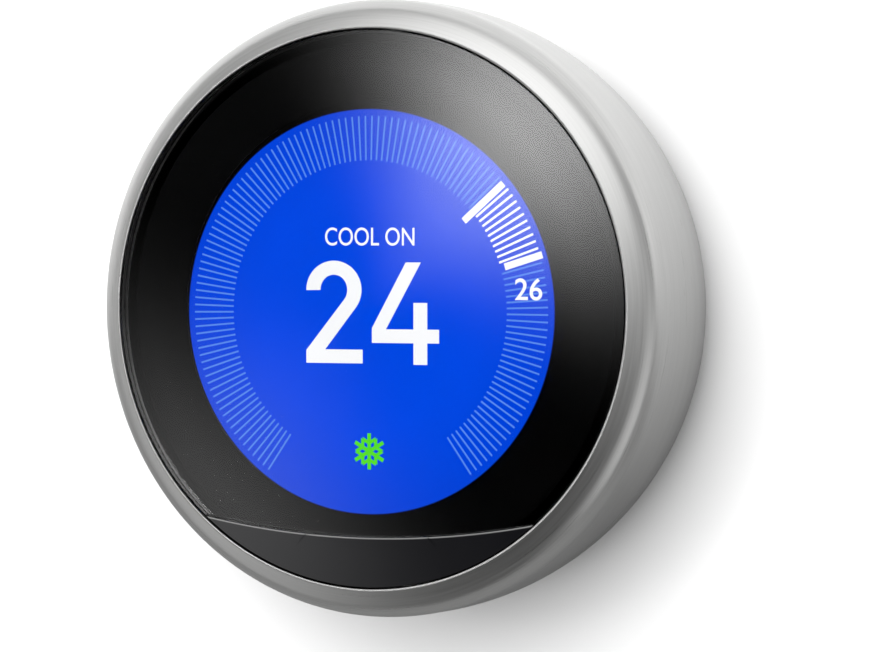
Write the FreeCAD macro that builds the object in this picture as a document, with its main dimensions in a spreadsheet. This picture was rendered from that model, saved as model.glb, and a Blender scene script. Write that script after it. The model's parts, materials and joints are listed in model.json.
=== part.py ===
import FreeCAD, Part
import math
import os

import Sketcher

# Round wall thermostat with a turning metal ring, built as an assembly of separate pieces.
#
# Frame: millimetres, +Z up, the wall is the plane y = 0 and the face looks along -Y. The origin is the
# middle of the mounting base where it meets the wall. "Depth" below is the distance from the wall, so
# a point at depth d lies at y = -d.
#
# Four groups of pieces stack up from the wall:
#   base   screwed to the wall: plate, terminals, level and socket
#   head   pulls off the base: back cover, circuit board, battery, press switch
#   face   is pressed in against three springs: frame, display, lens, sensor window
#   ring   turns round the face on a moulded carrier

doc = FreeCAD.newDocument("wall_thermostat")
sheet = doc.addObject("Spreadsheet::Sheet", "sizes")
parts = []


class Size:
    """A length that knows its number and the spreadsheet expression it comes from."""

    def __init__(self, value, text):
        self.value = value
        self.text = text

    def __add__(self, other):
        other = as_size(other)
        return Size(self.value + other.value, f"({self.text} + {other.text})")

    def __sub__(self, other):
        other = as_size(other)
        return Size(self.value - other.value, f"({self.text} - {other.text})")

    def __mul__(self, other):
        other = as_size(other)
        return Size(self.value * other.value, f"({self.text} * {other.text})")

    def __truediv__(self, other):
        other = as_size(other)
        return Size(self.value / other.value, f"({self.text} / {other.text})")

    def __neg__(self):
        return Size(-self.value, f"(0 - {self.text})")

    def __radd__(self, other):
        return as_size(other) + self

    def __rsub__(self, other):
        return as_size(other) - self

    def __rmul__(self, other):
        return as_size(other) * self


def as_size(number):
    return number if isinstance(number, Size) else Size(float(number), f"{float(number):.9f}")


def cosine(degrees):
    """Cosine of an angle in degrees, as a Size."""
    angle = as_size(degrees)
    return Size(math.cos(math.radians(angle.value)), f"cos({angle.text} * 1 deg)")


def sine(degrees):
    """Sine of an angle in degrees, as a Size."""
    angle = as_size(degrees)
    return Size(math.sin(math.radians(angle.value)), f"sin({angle.text} * 1 deg)")


def root(area):
    """Square root of a Size."""
    return Size(math.sqrt(area.value), f"sqrt({area.text})")


sheet_rows = []


def size(alias, value, note):
    """Adds one driving dimension to the spreadsheet and returns it."""
    sheet_rows.append(alias)
    row = len(sheet_rows)
    sheet.set(f"A{row}", note)
    sheet.set(f"B{row}", str(value))
    sheet.setAlias(f"B{row}", alias)
    return Size(float(value), f"sizes.{alias}")


# ---------------------------------------------------------------- driving dimensions

# Ring and face, radii from the common axis
ring_radius = size("ring_radius", 42.0, "ring, largest outer radius")
ring_wall = size("ring_wall", 3.0, "ring, metal thickness where the carrier is moulded in")
bevel_width = size("bevel_width", 4.05, "ring, from its largest radius in to the lip round the lens")
bevel_land = size("bevel_land", 0.3, "ring, flat land on the lip")
shoulder_radius = size("shoulder_radius", 4.6, "ring, arc between the front bevel and the side")
shoulder_angle = size("shoulder_angle", 58, "ring, angle of the bevel's normal from radial, degrees")
rear_arc = size("rear_arc", 48.0, "ring, arc by which the side draws in towards the wall")
side_height = size("side_height", 4.2, "ring, straight stretch of the side")
ring_standoff = size("ring_standoff", 4.5, "ring, clear of the wall by this much")
rear_lip_wall = size("rear_lip_wall", 1.05, "ring, metal thickness at its rear edge")
relief_wall = size("relief_wall", 1.8, "ring, metal thickness at the turned-out reliefs")
lip_rise = size("lip_rise", 0.2, "ring, lip in front of the lens edge")
lip_height = size("lip_height", 1.4, "ring, lip behind the lens edge")
rear_relief = size("rear_relief", 2.0, "ring, rear edge before the relief inside it opens")
front_relief = size("front_relief", 0.5, "ring, relief between the carrier and the lip")
lip_undercut = size("lip_undercut", 2.4, "ring, slope from the front relief to the lip")
lens_gap = size("lens_gap", 0.25, "between the turning lip and the lens")

# Depth stack, from the wall to the middle of the lens
flange_thick = size("flange_thick", 2.0, "base plate floor")
base_board_thick = size("base_board_thick", 1.0, "base circuit board")
block_height = size("block_height", 5.8, "terminal block above its board")
tab_proud = size("tab_proud", 1.1, "wire tab above its block")
mating_gap = size("mating_gap", 1.1, "between the wire tabs and the back cover")
cover_wall = size("cover_wall", 1.2, "back cover floor")
board_standoff = size("board_standoff", 1.8, "main board above the cover floor")
board_thick = size("board_thick", 1.0, "main board")
component_room = size("component_room", 7.4, "between the main board and the face plate")
plate_thick = size("plate_thick", 1.2, "face plate")
backlight_thick = size("backlight_thick", 1.8, "display backlight")
panel_thick = size("panel_thick", 2.0, "display panel")
bond_thick = size("bond_thick", 0.8, "clear bonding layer under the lens")
lens_thick = size("lens_thick", 1.8, "lens at its edge")
lens_crown = size("lens_crown", 0.8, "rise of the lens from its edge to its middle")

# Running and assembly clearances
bearing_gap = size("bearing_gap", 0.08, "ring carrier round the face frame's neck")
glide_gap = size("glide_gap", 0.1, "axial play of the ring on each side")
glide_thick = size("glide_thick", 0.3, "low-friction washers on the carrier")
pin_gap = size("pin_gap", 0.07, "guide pins in the face plate, radial")
fit_gap = size("fit_gap", 0.3, "general clearance between moulded parts")
press_travel = size("press_travel", 0.6, "how far the face can be pressed in")
tab_travel = size("tab_travel", 1.2, "how far a wire tab can be pressed in")

# Ring carrier and its keeper
carrier_wall = size("carrier_wall", 0.9, "carrier wall")
carrier_rear = size("carrier_rear", 6.6, "carrier behind its flange")
carrier_front = size("carrier_front", 2.0, "carrier in front of its flange")
carrier_flange = size("carrier_flange", 1.8, "carrier flange, thickness")
neck_wall = size("neck_wall", 2.95, "face frame's neck, wall")
carrier_step = size("carrier_step", 1.2, "carrier flange, how far it stands in from the carrier wall")
keeper_thick = size("keeper_thick", 1.4, "ring keeper")
code_band_thick = size("code_band_thick", 0.2, "patterned band read by the ring sensor")
code_band_height = size("code_band_height", 3.6, "patterned band, height")
code_band_inset = size("code_band_inset", 0.6, "patterned band from the carrier's rear edge")

# Screws and pins
wall_screw_spacing = size("wall_screw_spacing", 60.0, "wall screw holes, centre to centre")
wall_screw_hole = size("wall_screw_hole", 2.2, "wall screw hole, radius")
wall_screw_seat = size("wall_screw_seat", 3.6, "counterbore for the wall screw's head, radius")
wall_boss_wall = size("wall_boss_wall", 0.6, "plastic round the counterbore")
wall_boss_height = size("wall_boss_height", 3.2, "screw boss above the floor")
screw_seat_depth = size("screw_seat_depth", 2.2, "depth of the counterbore")
wire_opening = size("wire_opening", 12.0, "opening for the wires, radius")
small_screw = size("small_screw", 0.8, "board and keeper screws, shank radius")
screw_head = size("screw_head", 1.5, "board screw head, radius")
screw_head_height = size("screw_head_height", 1.0, "board screw head, height")
keeper_screw_head = size("keeper_screw_head", 1.1, "keeper screw head, radius")
keeper_head_height = size("keeper_head_height", 0.5, "keeper screw head, height")
guide_pin = size("guide_pin", 1.2, "guide pin, radius")
guide_pin_head = size("guide_pin_head", 1.6, "guide pin head, radius")
guide_head_height = size("guide_head_height", 0.7, "guide pin head, height")
post_radius = size("post_radius", 2.6, "posts on the back cover, radius")
spring_radius = size("spring_radius", 1.95, "press spring, mean radius of its coil")
spring_wire = size("spring_wire", 0.22, "press spring, wire radius")
spring_turns = 6

# Terminals
terminal_pitch = size("terminal_pitch", 5.2, "between one wire terminal and the next")
block_width = size("block_width", 13.5, "terminal block, from the wires to the rim")
block_margin = size("block_margin", 0.4, "terminal block past its end terminals")
block_inset = size("block_inset", 3.6, "terminal block back from the rim")
tab_width = size("tab_width", 3.4, "wire tab along the block")
tab_length = size("tab_length", 5.4, "wire tab across the block")
tab_height = size("tab_height", 4.2, "wire tab, overall")
tab_gap = size("tab_gap", 0.25, "wire tab in its well, each side")
well_floor = size("well_floor", 1.0, "terminal block under the wells")
well_offset = size("well_offset", 2.2, "wells from the block's middle line towards the rim")
tab_dish = size("tab_dish", 0.4, "finger dish in a wire tab, depth")
tab_dish_edge = size("tab_dish_edge", 0.6, "edge left round the dish")
clamp_thick = size("clamp_thick", 0.25, "wire clamp strip")
clamp_width = size("clamp_width", 2.6, "wire clamp strip, width")
clamp_leg = size("clamp_leg", 0.6, "wire clamp leg, thickness")
entry_size = size("entry_size", 2.2, "square wire entry")
entry_floor = size("entry_floor", 1.9, "wire entry above the block's underside")
terminals = 5

# Connector between base and head
pin_pitch = size("pin_pitch", 1.8, "contact spacing")
pin_size = size("pin_size", 0.4, "plug pin, square")
contact_wall = size("contact_wall", 0.2, "socket contact, metal thickness")
contact_gap = size("contact_gap", 0.05, "plug pin in its contact, each side")
connector_z = size("connector_z", 19.5, "connector below the middle")
connector_side = size("connector_side", 1.45, "connector past its outermost contacts, at the sides")
connector_edge = size("connector_edge", 1.35, "connector past its contacts, above and below")
socket_rise = size("socket_rise", 6.6, "socket above its board")
plug_rise = size("plug_rise", 0.6, "plug behind the back cover's floor")
pin_reach = size("pin_reach", 4.4, "plug pins into the socket")
pins_per_row = 8

# Spirit level
level_radius = size("level_radius", 2.8, "level vial, outer radius")
level_wall = size("level_wall", 0.5, "level vial, wall")
level_length = size("level_length", 12.0, "level vial, straight length")
level_z = size("level_z", 17.8, "level above the middle")
level_lift = size("level_lift", 0.6, "level above the base board")
cradle_wall = size("cradle_wall", 0.8, "cradle along the level, wall")
cradle_end = size("cradle_end", 1.5, "cradle past each end of the level")
cradle_rise = size("cradle_rise", 2.0, "cradle above the base board")
bubble_radius = size("bubble_radius", 1.5, "bubble, radius")

# Clips that hold the head to the base
clip_width = size("clip_width", 6.0, "retaining clip, width")
clip_thick = size("clip_thick", 0.4, "retaining clip, thickness")
clip_height = size("clip_height", 6.0, "retaining clip, height")
clip_bulge = size("clip_bulge", 1.2, "retaining clip, how far its bend stands out")
clip_bend = size("clip_bend", 4.0, "retaining clip, bend above the floor")
clip_foot = size("clip_foot", 2.0, "retaining clip, foot")
detent_depth = size("detent_depth", 0.7, "groove in the skirt for the clips")
detent_half = size("detent_half", 0.8, "groove, half its flat bottom")
detent_slope = size("detent_slope", 0.8, "groove, sloping side")
skirt_chamfer = size("skirt_chamfer", 0.4, "chamfer inside the skirt's rear edge")
skirt_lift = size("skirt_lift", 0.8, "skirt's rear edge above the base plate floor")
skirt_wall = size("skirt_wall", 1.4, "back cover skirt")
skirt_gap = size("skirt_gap", 1.8, "between the skirt and the ring's rear lip")
rim_wall = size("rim_wall", 1.6, "base plate rim")
rim_height = size("rim_height", 5.6, "base plate rim above the floor")
rim_gap = size("rim_gap", 0.6, "base rim in the skirt")

# Display, lens and sensors
display_radius = size("display_radius", 28.2, "display panel, radius")
bezel_wall = size("bezel_wall", 0.6, "metal bezel round the display")
frame_rim_wall = size("frame_rim_wall", 1.2, "rim that carries the lens")
frame_rim_inset = size("frame_rim_inset", 0.55, "rim inside the lens edge")
tape_thick = size("tape_thick", 0.3, "adhesive tape under the lens")
window_chord = size("window_chord", 28.45, "ends of the lens's lower edge below the middle")
window_sag = size("window_sag", 2.35, "how far that edge curves down between its ends")
window_gap = size("window_gap", 0.14, "between the lens and the sensor window")
sensor_board_thick = size("sensor_board_thick", 0.8, "sensor board, thickness")
sensor_spread = size("sensor_spread", 22, "sensor board, half its sweep, degrees")
motion_width = size("motion_width", 6.0, "motion sensor, width")
motion_height = size("motion_height", 4.0, "motion sensor, height")
motion_thick = size("motion_thick", 1.6, "motion sensor, thickness")
motion_lens_width = size("motion_lens_width", 9.0, "motion lens, width")
motion_lens_height = size("motion_lens_height", 4.6, "motion lens, height")
motion_lens_thick = size("motion_lens_thick", 0.8, "motion lens, thickness")
motion_lens_wall = size("motion_lens_wall", 0.6, "motion lens, side walls")

# Parts on the main board
cable_width = size("cable_width", 8.0, "display ribbon cable, width")
cable_z = size("cable_z", 23.0, "display ribbon cable above the middle")
cable_thick = size("cable_thick", 0.3, "display ribbon cable, thickness")
cable_slot = size("cable_slot", 2.4, "slot for the ribbon cable in the face plate")
connector_lid = size("connector_lid", 1.4, "ribbon connector above the main board")
battery_x = size("battery_x", -14.6, "battery, across")
battery_z = size("battery_z", 0.5, "battery, up")
battery_width = size("battery_width", 20.0, "battery, width")
battery_height = size("battery_height", 28.0, "battery, height")
battery_thick = size("battery_thick", 4.2, "battery, thickness")
switch_size = size("switch_size", 5.0, "press switch, square")
switch_height = size("switch_height", 1.0, "press switch body, height")
dome_radius = size("dome_radius", 2.0, "snap dome, radius")
dome_height = size("dome_height", 0.6, "snap dome, height")
dome_gap = size("dome_gap", 0.3, "plunger above the dome")
plunger_radius = size("plunger_radius", 1.5, "plunger, radius")
vent_width = size("vent_width", 1.2, "vent slots in the back cover, width")
vent_height = size("vent_height", 5.0, "vent slots, height")
vent_pitch = size("vent_pitch", 2.4, "vent slots, one to the next")
vent_z = size("vent_z", -7.0, "vent slots, up")
vents = 5
port_x = size("port_x", -20.0, "service port, across")
port_z = size("port_z", -19.5, "service port, up")
port_width = size("port_width", 7.6, "service port, width")
port_height = size("port_height", 2.8, "service port, height")
port_wall = size("port_wall", 0.3, "service port, shell")
port_reach = size("port_reach", 3.4, "service port, from the board towards the wall")
ring_sensor_size = size("ring_sensor_size", 6.0, "ring sensor, square")
ring_sensor_gap = size("ring_sensor_gap", 0.9, "ring sensor from the code band")
ring_sensor_room = size("ring_sensor_room", 1.2, "between the ring sensor and the keeper")
shield_wall = size("shield_wall", 0.3, "shield cans, metal")
can_radius = size("can_radius", 1.6, "capacitors, radius")
can_height = size("can_height", 2.6, "capacitors, height")
sounder_radius = size("sounder_radius", 4.5, "sounder, radius")
sounder_height = size("sounder_height", 2.5, "sounder, height")
antenna_width = size("antenna_width", 12.0, "antenna, length")
antenna_metal = size("antenna_metal", 0.3, "antenna, metal thickness")
recess_depth = size("recess_depth", 0.7, "recesses in the wall side of the base")
recess_rib = size("recess_rib", 7, "half the rib between two recesses, degrees")
recess_edge = size("recess_edge", 2.4, "material left round the wire opening")
recess_count = 8
guide_angles = (90, 210, 330)
screw_angles = (30, 150, 270)
keeper_angles = (30, 90, 150, 210, 270, 330)
shaft_end = size("shaft_end", 0.6, "how far pins and screws go into what holds them")
board_edge = size("board_edge", 0.5, "main board inside the skirt")
post_edge = size("post_edge", 3.8, "post centres inside the skirt's inner face")
cut_past = size("cut_past", 1.0, "how far a cut runs past a face")

# ---------------------------------------------------------------- derived depths and radii

base_board_front = flange_thick + base_board_thick
block_front = base_board_front + block_height
tab_front = block_front + tab_proud
cover_rear = tab_front + mating_gap
cover_front = cover_rear + cover_wall
board_rear = cover_front + board_standoff
board_front = board_rear + board_thick
plate_rear = board_front + component_room
plate_front = plate_rear + plate_thick
backlight_front = plate_front + backlight_thick
panel_front = backlight_front + panel_thick
lens_rear = panel_front + bond_thick
lens_edge = lens_rear + lens_thick
lens_front = lens_edge + lens_crown

carrier_flange_front = plate_rear - glide_gap - glide_thick
carrier_flange_rear = carrier_flange_front - carrier_flange
carrier_rear_edge = carrier_flange_rear - carrier_rear
carrier_front_edge = carrier_flange_front + carrier_front
keeper_front = carrier_flange_rear - glide_thick - glide_gap
keeper_rear = keeper_front - keeper_thick
skirt_rear = flange_thick + skirt_lift
skirt_front = keeper_rear - keeper_head_height - press_travel - fit_gap

# The ring's outline: lip, bevel, shoulder arc, straight side and the arc in towards the wall
lip_radius = ring_radius - bevel_width
lip_front = lens_edge + lip_rise
bevel_radius = ring_radius - shoulder_radius + shoulder_radius * cosine(shoulder_angle)
bevel_run = bevel_radius - lip_radius - bevel_land
bevel_rear = lip_front - bevel_run * cosine(shoulder_angle) / sine(shoulder_angle)
side_front = bevel_rear - shoulder_radius * sine(shoulder_angle)
side_rear = side_front - side_height


def ring_side_radius(depth):
    """The ring's outer radius where its side draws in, at a given depth."""
    drop = side_rear - depth
    return ring_radius - rear_arc + root(rear_arc * rear_arc - drop * drop)


ring_rear_bore = ring_side_radius(ring_standoff) - rear_lip_wall
ring_bore = ring_radius - ring_wall
lens_radius = lip_radius - lens_gap
carrier_bore = ring_bore - carrier_wall
flange_bore = carrier_bore - carrier_step
neck_radius = flange_bore - bearing_gap
neck_bore = neck_radius - neck_wall
code_band_bore = carrier_bore - code_band_thick
frame_rim_outer = lens_radius - frame_rim_inset
frame_rim_inner = frame_rim_outer - frame_rim_wall
bezel_outer = display_radius + bezel_wall

skirt_outer = ring_rear_bore - skirt_gap
skirt_inner = skirt_outer - skirt_wall
rim_outer = skirt_inner - rim_gap
rim_inner = rim_outer - rim_wall
flange_radius = skirt_outer - fit_gap
board_radius = skirt_inner - board_edge
post_circle = skirt_inner - post_edge
screw_circle = neck_radius - neck_wall / 2
wall_screw_reach = wall_screw_spacing / 2

contact_metal = pin_size + (contact_gap + contact_wall) * 2
connector_width = pin_pitch * (pins_per_row - 1) + contact_metal + connector_side * 2
connector_height = pin_pitch + contact_metal + connector_edge * 2

# ---------------------------------------------------------------- drawing helpers


def new_body(label):
    """A PartDesign body whose label names its file."""
    body = doc.addObject("PartDesign::Body", label)
    body.Label = label
    parts.append(body)
    return body


def origin_item(body, role):
    return next(item for item in body.Origin.OriginFeatures if item.Role == role)


def new_sketch(body, role, offset=None):
    """A sketch on one of the body's own origin planes, moved along its normal by offset."""
    sketch = body.newObject("Sketcher::SketchObject", "sketch")
    sketch.AttachmentSupport = [(origin_item(body, role), "")]
    sketch.MapMode = "FlatFace"
    if offset is not None:
        offset = as_size(offset)
        base = FreeCAD.Vector(0, 0, offset.value)
        sketch.AttachmentOffset = FreeCAD.Placement(base, FreeCAD.Rotation())
        sketch.setExpression("AttachmentOffset.Base.z", offset.text)
    return sketch


def bind(sketch, kind, *where, value):
    """Adds a dimension to the sketch and ties it to the spreadsheet."""
    value = as_size(value)
    number = sketch.addConstraint(Sketcher.Constraint(kind, *where, value.value))
    sketch.setExpression(f"Constraints[{number}]", value.text)


def bind_point(sketch, geometry, position, x, y):
    bind(sketch, "DistanceX", -1, 1, geometry, position, value=x)
    bind(sketch, "DistanceY", -1, 1, geometry, position, value=y)


def arc_between(start, end, radius, bulge_left):
    """An arc that swells to the left or right of the way from start to end, and its end numbers."""
    (x0, y0), (x1, y1) = start, end
    half = math.hypot(x1 - x0, y1 - y0) / 2
    reach = math.sqrt(radius**2 - half**2)
    side = -1 if bulge_left else 1
    cx = (x0 + x1) / 2 + side * reach * (y0 - y1) / (2 * half)
    cy = (y0 + y1) / 2 + side * reach * (x1 - x0) / (2 * half)
    circle = Part.Circle(FreeCAD.Vector(cx, cy, 0), FreeCAD.Vector(0, 0, 1), radius)
    first = math.atan2(y0 - cy, x0 - cx)
    last = math.atan2(y1 - cy, x1 - cx)
    if bulge_left:
        return Part.ArcOfCircle(circle, last, first), (2, 1)
    return Part.ArcOfCircle(circle, first, last), (1, 2)


def draw_loop(sketch, corners, arcs=None):
    """A closed outline through the corners. arcs maps a corner's number to (radius, bulge_left)."""
    arcs = arcs or {}
    corners = [(as_size(x), as_size(y)) for x, y in corners]
    edges = []
    for number, start in enumerate(corners):
        end = corners[(number + 1) % len(corners)]
        here = (start[0].value, start[1].value)
        there = (end[0].value, end[1].value)
        if number in arcs:
            radius, bulge_left = arcs[number]
            shape, ends = arc_between(here, there, as_size(radius).value, bulge_left)
        else:
            shape = Part.LineSegment(FreeCAD.Vector(*here, 0), FreeCAD.Vector(*there, 0))
            ends = (1, 2)
        edges.append((sketch.addGeometry(shape, False), ends))
    for number, (edge, ends) in enumerate(edges):
        following, next_ends = edges[(number + 1) % len(edges)]
        meeting = Sketcher.Constraint("Coincident", edge, ends[1], following, next_ends[0])
        sketch.addConstraint(meeting)
    for number, (edge, ends) in enumerate(edges):
        bind_point(sketch, edge, ends[0], *corners[number])
        if number in arcs:
            bind(sketch, "Radius", edge, value=arcs[number][0])


def draw_circle(sketch, x, z, radius):
    x = as_size(x)
    z = as_size(z)
    radius = as_size(radius)
    centre = FreeCAD.Vector(x.value, z.value, 0)
    circle = Part.Circle(centre, FreeCAD.Vector(0, 0, 1), radius.value)
    edge = sketch.addGeometry(circle, False)
    bind_point(sketch, edge, 3, x, z)
    bind(sketch, "Radius", edge, value=radius)


def loop(corners, arcs=None):
    """A closed outline, ready to be drawn in a sketch."""
    return lambda sketch: draw_loop(sketch, corners, arcs)


def rectangle(x, z, width, height):
    """An upright rectangle with its middle at x, z, ready to be drawn in a sketch."""
    left = as_size(x) - as_size(width) / 2
    right = as_size(x) + as_size(width) / 2
    low = as_size(z) - as_size(height) / 2
    high = as_size(z) + as_size(height) / 2
    return loop([(left, low), (right, low), (right, high), (left, high)])


def circles(places, radius):
    """One circle of that radius at each (x, z), ready to be drawn in a sketch."""

    def draw(sketch):
        for x, z in places:
            draw_circle(sketch, x, z, radius)

    return draw


def sector(inner, outer, first, last):
    """A piece of a flat ring between two angles, ready to be drawn in a sketch."""
    corners = [
        on_circle(inner, first),
        on_circle(outer, first),
        on_circle(outer, last),
        on_circle(inner, last),
    ]
    return loop(corners, {1: (outer, False), 3: (inner, True)})


def on_circle(radius, degrees):
    """The point at that radius and angle, as (x, z)."""
    return radius * cosine(degrees), radius * sine(degrees)


def around_circle(radius, angles):
    return [on_circle(radius, angle) for angle in angles]


def finish_feature(body, before, adds):
    """Recomputes, and makes sure that the newest feature really added or removed material."""
    doc.recompute()
    change = body.Shape.Volume - before
    if not adds:
        change = -change
    if change <= 1e-6:
        raise RuntimeError(f"{body.Label}: {body.Tip.Name} changed nothing")
    return body.Tip


def volume_so_far(body):
    return body.Shape.Volume if body.Tip else 0.0


def turned(body, corners, arcs=None):
    """A solid turned about the common axis from an outline given as (radius, depth)."""
    sketch = new_sketch(body, "XY_Plane")
    draw_loop(sketch, [(radius, -as_size(depth)) for radius, depth in corners], arcs)
    feature = body.newObject("PartDesign::Revolution", "turned")
    feature.Profile = sketch
    feature.ReferenceAxis = (sketch, ["V_Axis"])
    feature.Angle = 360
    return finish_feature(body, 0.0, adds=True)


def washer(inner, outer, rear, front):
    """Corners of a flat ring between two radii and two depths."""
    return [(inner, rear), (outer, rear), (outer, front), (inner, front)]


def padded(body, draw, rear, front):
    """Material from the rear depth to the front depth, in the outline that draw makes."""
    before = volume_so_far(body)
    sketch = new_sketch(body, "XZ_Plane", rear)
    draw(sketch)
    feature = body.newObject("PartDesign::Pad", "pad")
    feature.Profile = sketch
    sized(feature, Length=as_size(front) - rear)
    return finish_feature(body, before, adds=True)


def pocketed(body, draw, rear, front):
    """Removes material from the rear depth to the front depth."""
    before = volume_so_far(body)
    sketch = new_sketch(body, "XZ_Plane", rear)
    draw(sketch)
    feature = body.newObject("PartDesign::Pocket", "pocket")
    feature.Profile = sketch
    sized(feature, Length=as_size(front) - rear)
    feature.Reversed = True
    return finish_feature(body, before, adds=False)


def strip(body, role, corners, width):
    """A bent strip of that width, from its outline on the XY or YZ plane."""
    sketch = new_sketch(body, role)
    draw_loop(sketch, corners)
    feature = body.newObject("PartDesign::Pad", "strip")
    feature.Profile = sketch
    sized(feature, Length=width)
    feature.Midplane = True
    return finish_feature(body, 0.0, adds=True)


def around(body, features, count):
    """Repeats features evenly round the common axis."""
    pattern = body.newObject("PartDesign::PolarPattern", "around")
    pattern.Originals = features
    pattern.Axis = (origin_item(body, "Y_Axis"), [""])
    pattern.Angle = 360
    pattern.Occurrences = count
    body.Tip = pattern
    doc.recompute()


def along(body, features, role, pitch, count):
    """Repeats features in a row along one of the body's axes."""
    pattern = body.newObject("PartDesign::LinearPattern", "along")
    pattern.Originals = features
    pattern.Direction = (origin_item(body, role), [""])
    sized(pattern, Length=pitch * (count - 1))
    pattern.Occurrences = count
    body.Tip = pattern
    doc.recompute()


def place(thing, x, depth, z):
    """Ties an object's position to the spreadsheet."""
    for letter, value in (("x", as_size(x)), ("y", -as_size(depth)), ("z", as_size(z))):
        setattr(thing.Placement.Base, letter, value.value)
        thing.setExpression(f"Placement.Base.{letter}", value.text)


def sized(thing, **lengths):
    """Sets lengths of an object and ties them to the spreadsheet."""
    for name, value in lengths.items():
        value = as_size(value)
        setattr(thing, name, value.value)
        thing.setExpression(name, value.text)
    return thing


def block(x, z, width, height, rear, front):
    """A box from the rear depth to the front depth, with its middle at x, z."""
    thing = doc.addObject("Part::Box", "block")
    sized(thing, Length=width, Width=as_size(front) - rear, Height=height)
    place(thing, as_size(x) - as_size(width) / 2, front, as_size(z) - as_size(height) / 2)
    return thing


def rod(x, z, radius, rear, front):
    """A cylinder along the depth direction."""
    thing = doc.addObject("Part::Cylinder", "rod")
    sized(thing, Radius=radius, Height=as_size(front) - rear)
    thing.Placement.Rotation = FreeCAD.Rotation(FreeCAD.Vector(1, 0, 0), 90)
    place(thing, x, rear, z)
    return thing


def joined(*things):
    """One solid made of several primitives."""
    thing = doc.addObject("Part::MultiFuse", "joined")
    thing.Shapes = list(things)
    return thing


def minus(thing, *tools):
    """A primitive with others taken out of it."""
    for tool in tools:
        cut = doc.addObject("Part::Cut", "minus")
        cut.Base = thing
        cut.Tool = tool
        thing = cut
    return thing


def as_part(label, thing):
    """Makes a finished object a sub-part of its own."""
    thing.Label = label
    parts.append(thing)


def group(label, things):
    """Several like pieces as separate solids in one sub-part."""
    compound = doc.addObject("Part::Compound", label)
    compound.Links = things
    as_part(label, compound)


def screws(label, places, head_radius, tip, under_head, head_end):
    """Like screws along the depth direction; the head lies from under_head to head_end."""
    things = []
    for x, z in places:
        if as_size(head_end).value > as_size(under_head).value:
            shank = rod(x, z, small_screw, tip, under_head)
            head = rod(x, z, head_radius, under_head, head_end)
        else:
            shank = rod(x, z, small_screw, under_head, tip)
            head = rod(x, z, head_radius, head_end, under_head)
        things.append(joined(shank, head))
    group(label, things)


# ---------------------------------------------------------------- ring


def make_outer_ring():
    """Turned steel ring: lip, bevel, shoulder, side that draws in, and reliefs inside."""
    body = new_body("outer_ring")
    relief_rear = ring_standoff + rear_relief
    relief_middle = (relief_rear + carrier_rear_edge) / 2
    relief_radius = ring_side_radius(relief_middle) - relief_wall
    lip_rear = lens_edge - lip_height
    corners = [
        (lip_radius, lip_front),
        (lip_radius + bevel_land, lip_front),
        (bevel_radius, bevel_rear),
        (ring_radius, side_front),
        (ring_radius, side_rear),
        (ring_side_radius(ring_standoff), ring_standoff),
        (ring_rear_bore, ring_standoff),
        (ring_rear_bore, relief_rear),
        (relief_radius, relief_middle),
        (relief_radius, carrier_rear_edge),
        (ring_bore, carrier_rear_edge),
        (ring_bore, carrier_front_edge),
        (ring_bore + front_relief, carrier_front_edge),
        (ring_bore + front_relief, lip_rear - lip_undercut),
        (lip_radius, lip_rear),
    ]
    turned(body, corners, {2: (shoulder_radius, False), 4: (rear_arc, False)})


def make_ring_carrier():
    """Moulded carrier in the ring's bore; its flange is trapped between plate and keeper."""
    body = new_body("ring_carrier")
    corners = [
        (ring_bore, carrier_rear_edge),
        (ring_bore, carrier_front_edge),
        (carrier_bore, carrier_front_edge),
        (carrier_bore, carrier_flange_front),
        (flange_bore, carrier_flange_front),
        (flange_bore, carrier_flange_rear),
        (carrier_bore, carrier_flange_rear),
        (carrier_bore, carrier_rear_edge),
    ]
    turned(body, corners)


def make_ring_trim():
    """Code band inside the carrier, and the two low-friction washers on its flange."""
    band = new_body("ring_code_band")
    rear = carrier_rear_edge + code_band_inset
    turned(band, washer(code_band_bore, carrier_bore, rear, rear + code_band_height))
    glides = []
    for rear in (carrier_flange_rear - glide_thick, carrier_flange_front):
        outer = rod(0, 0, carrier_bore - bearing_gap, rear, rear + glide_thick)
        inner = rod(0, 0, flange_bore + bearing_gap, rear - cut_past, rear + cut_past)
        glides.append(minus(outer, inner))
    group("ring_glides", glides)


# ---------------------------------------------------------------- face


def seam_half():
    """Half the width of the seam between lens and window."""
    return root(lens_radius * lens_radius - window_chord * window_chord)


def seam_radius():
    """Radius of the seam's arc, from its width and its sag."""
    return (seam_half() * seam_half() + window_sag * window_sag) / (window_sag * 2)


def seam_ends(shift):
    """The seam's arc run on past the lens, as half its width and the height of its ends."""
    half = seam_half() + cut_past
    radius = seam_radius()
    rise = radius - root(radius * radius - half * half)
    return half, rise - window_chord - window_sag - shift


def make_lens_blank(label):
    """A domed round pane, from which the lens and the window below it are cut."""
    body = new_body(label)
    dome = (lens_radius * lens_radius + lens_crown * lens_crown) / (lens_crown * 2)
    corners = [(0, lens_rear), (lens_radius, lens_rear), (lens_radius, lens_edge), (0, lens_front)]
    turned(body, corners, {2: (dome, True)})
    return body


def make_front_glass():
    """Domed lens whose foot is cut off along a shallow arc."""
    body = make_lens_blank("front_glass")
    half, level = seam_ends(0)
    foot = -(lens_radius + cut_past)
    corners = [(-half, level), (half, level), (half, foot), (-half, foot)]
    foot_outline = loop(corners, {0: (seam_radius(), False)})
    pocketed(body, foot_outline, lens_rear - cut_past, lens_front + cut_past)


def make_sensor_window():
    """Dark window below the lens; it lets infra-red through to the motion sensor."""
    body = make_lens_blank("sensor_window")
    half, level = seam_ends(window_gap)
    side = lens_radius + cut_past
    corners = [
        (-half, level),
        (half, level),
        (side, level),
        (side, side),
        (-side, side),
        (-side, level),
    ]
    above = loop(corners, {0: (seam_radius(), False)})
    pocketed(body, above, lens_rear - cut_past, lens_front + cut_past)


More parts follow.
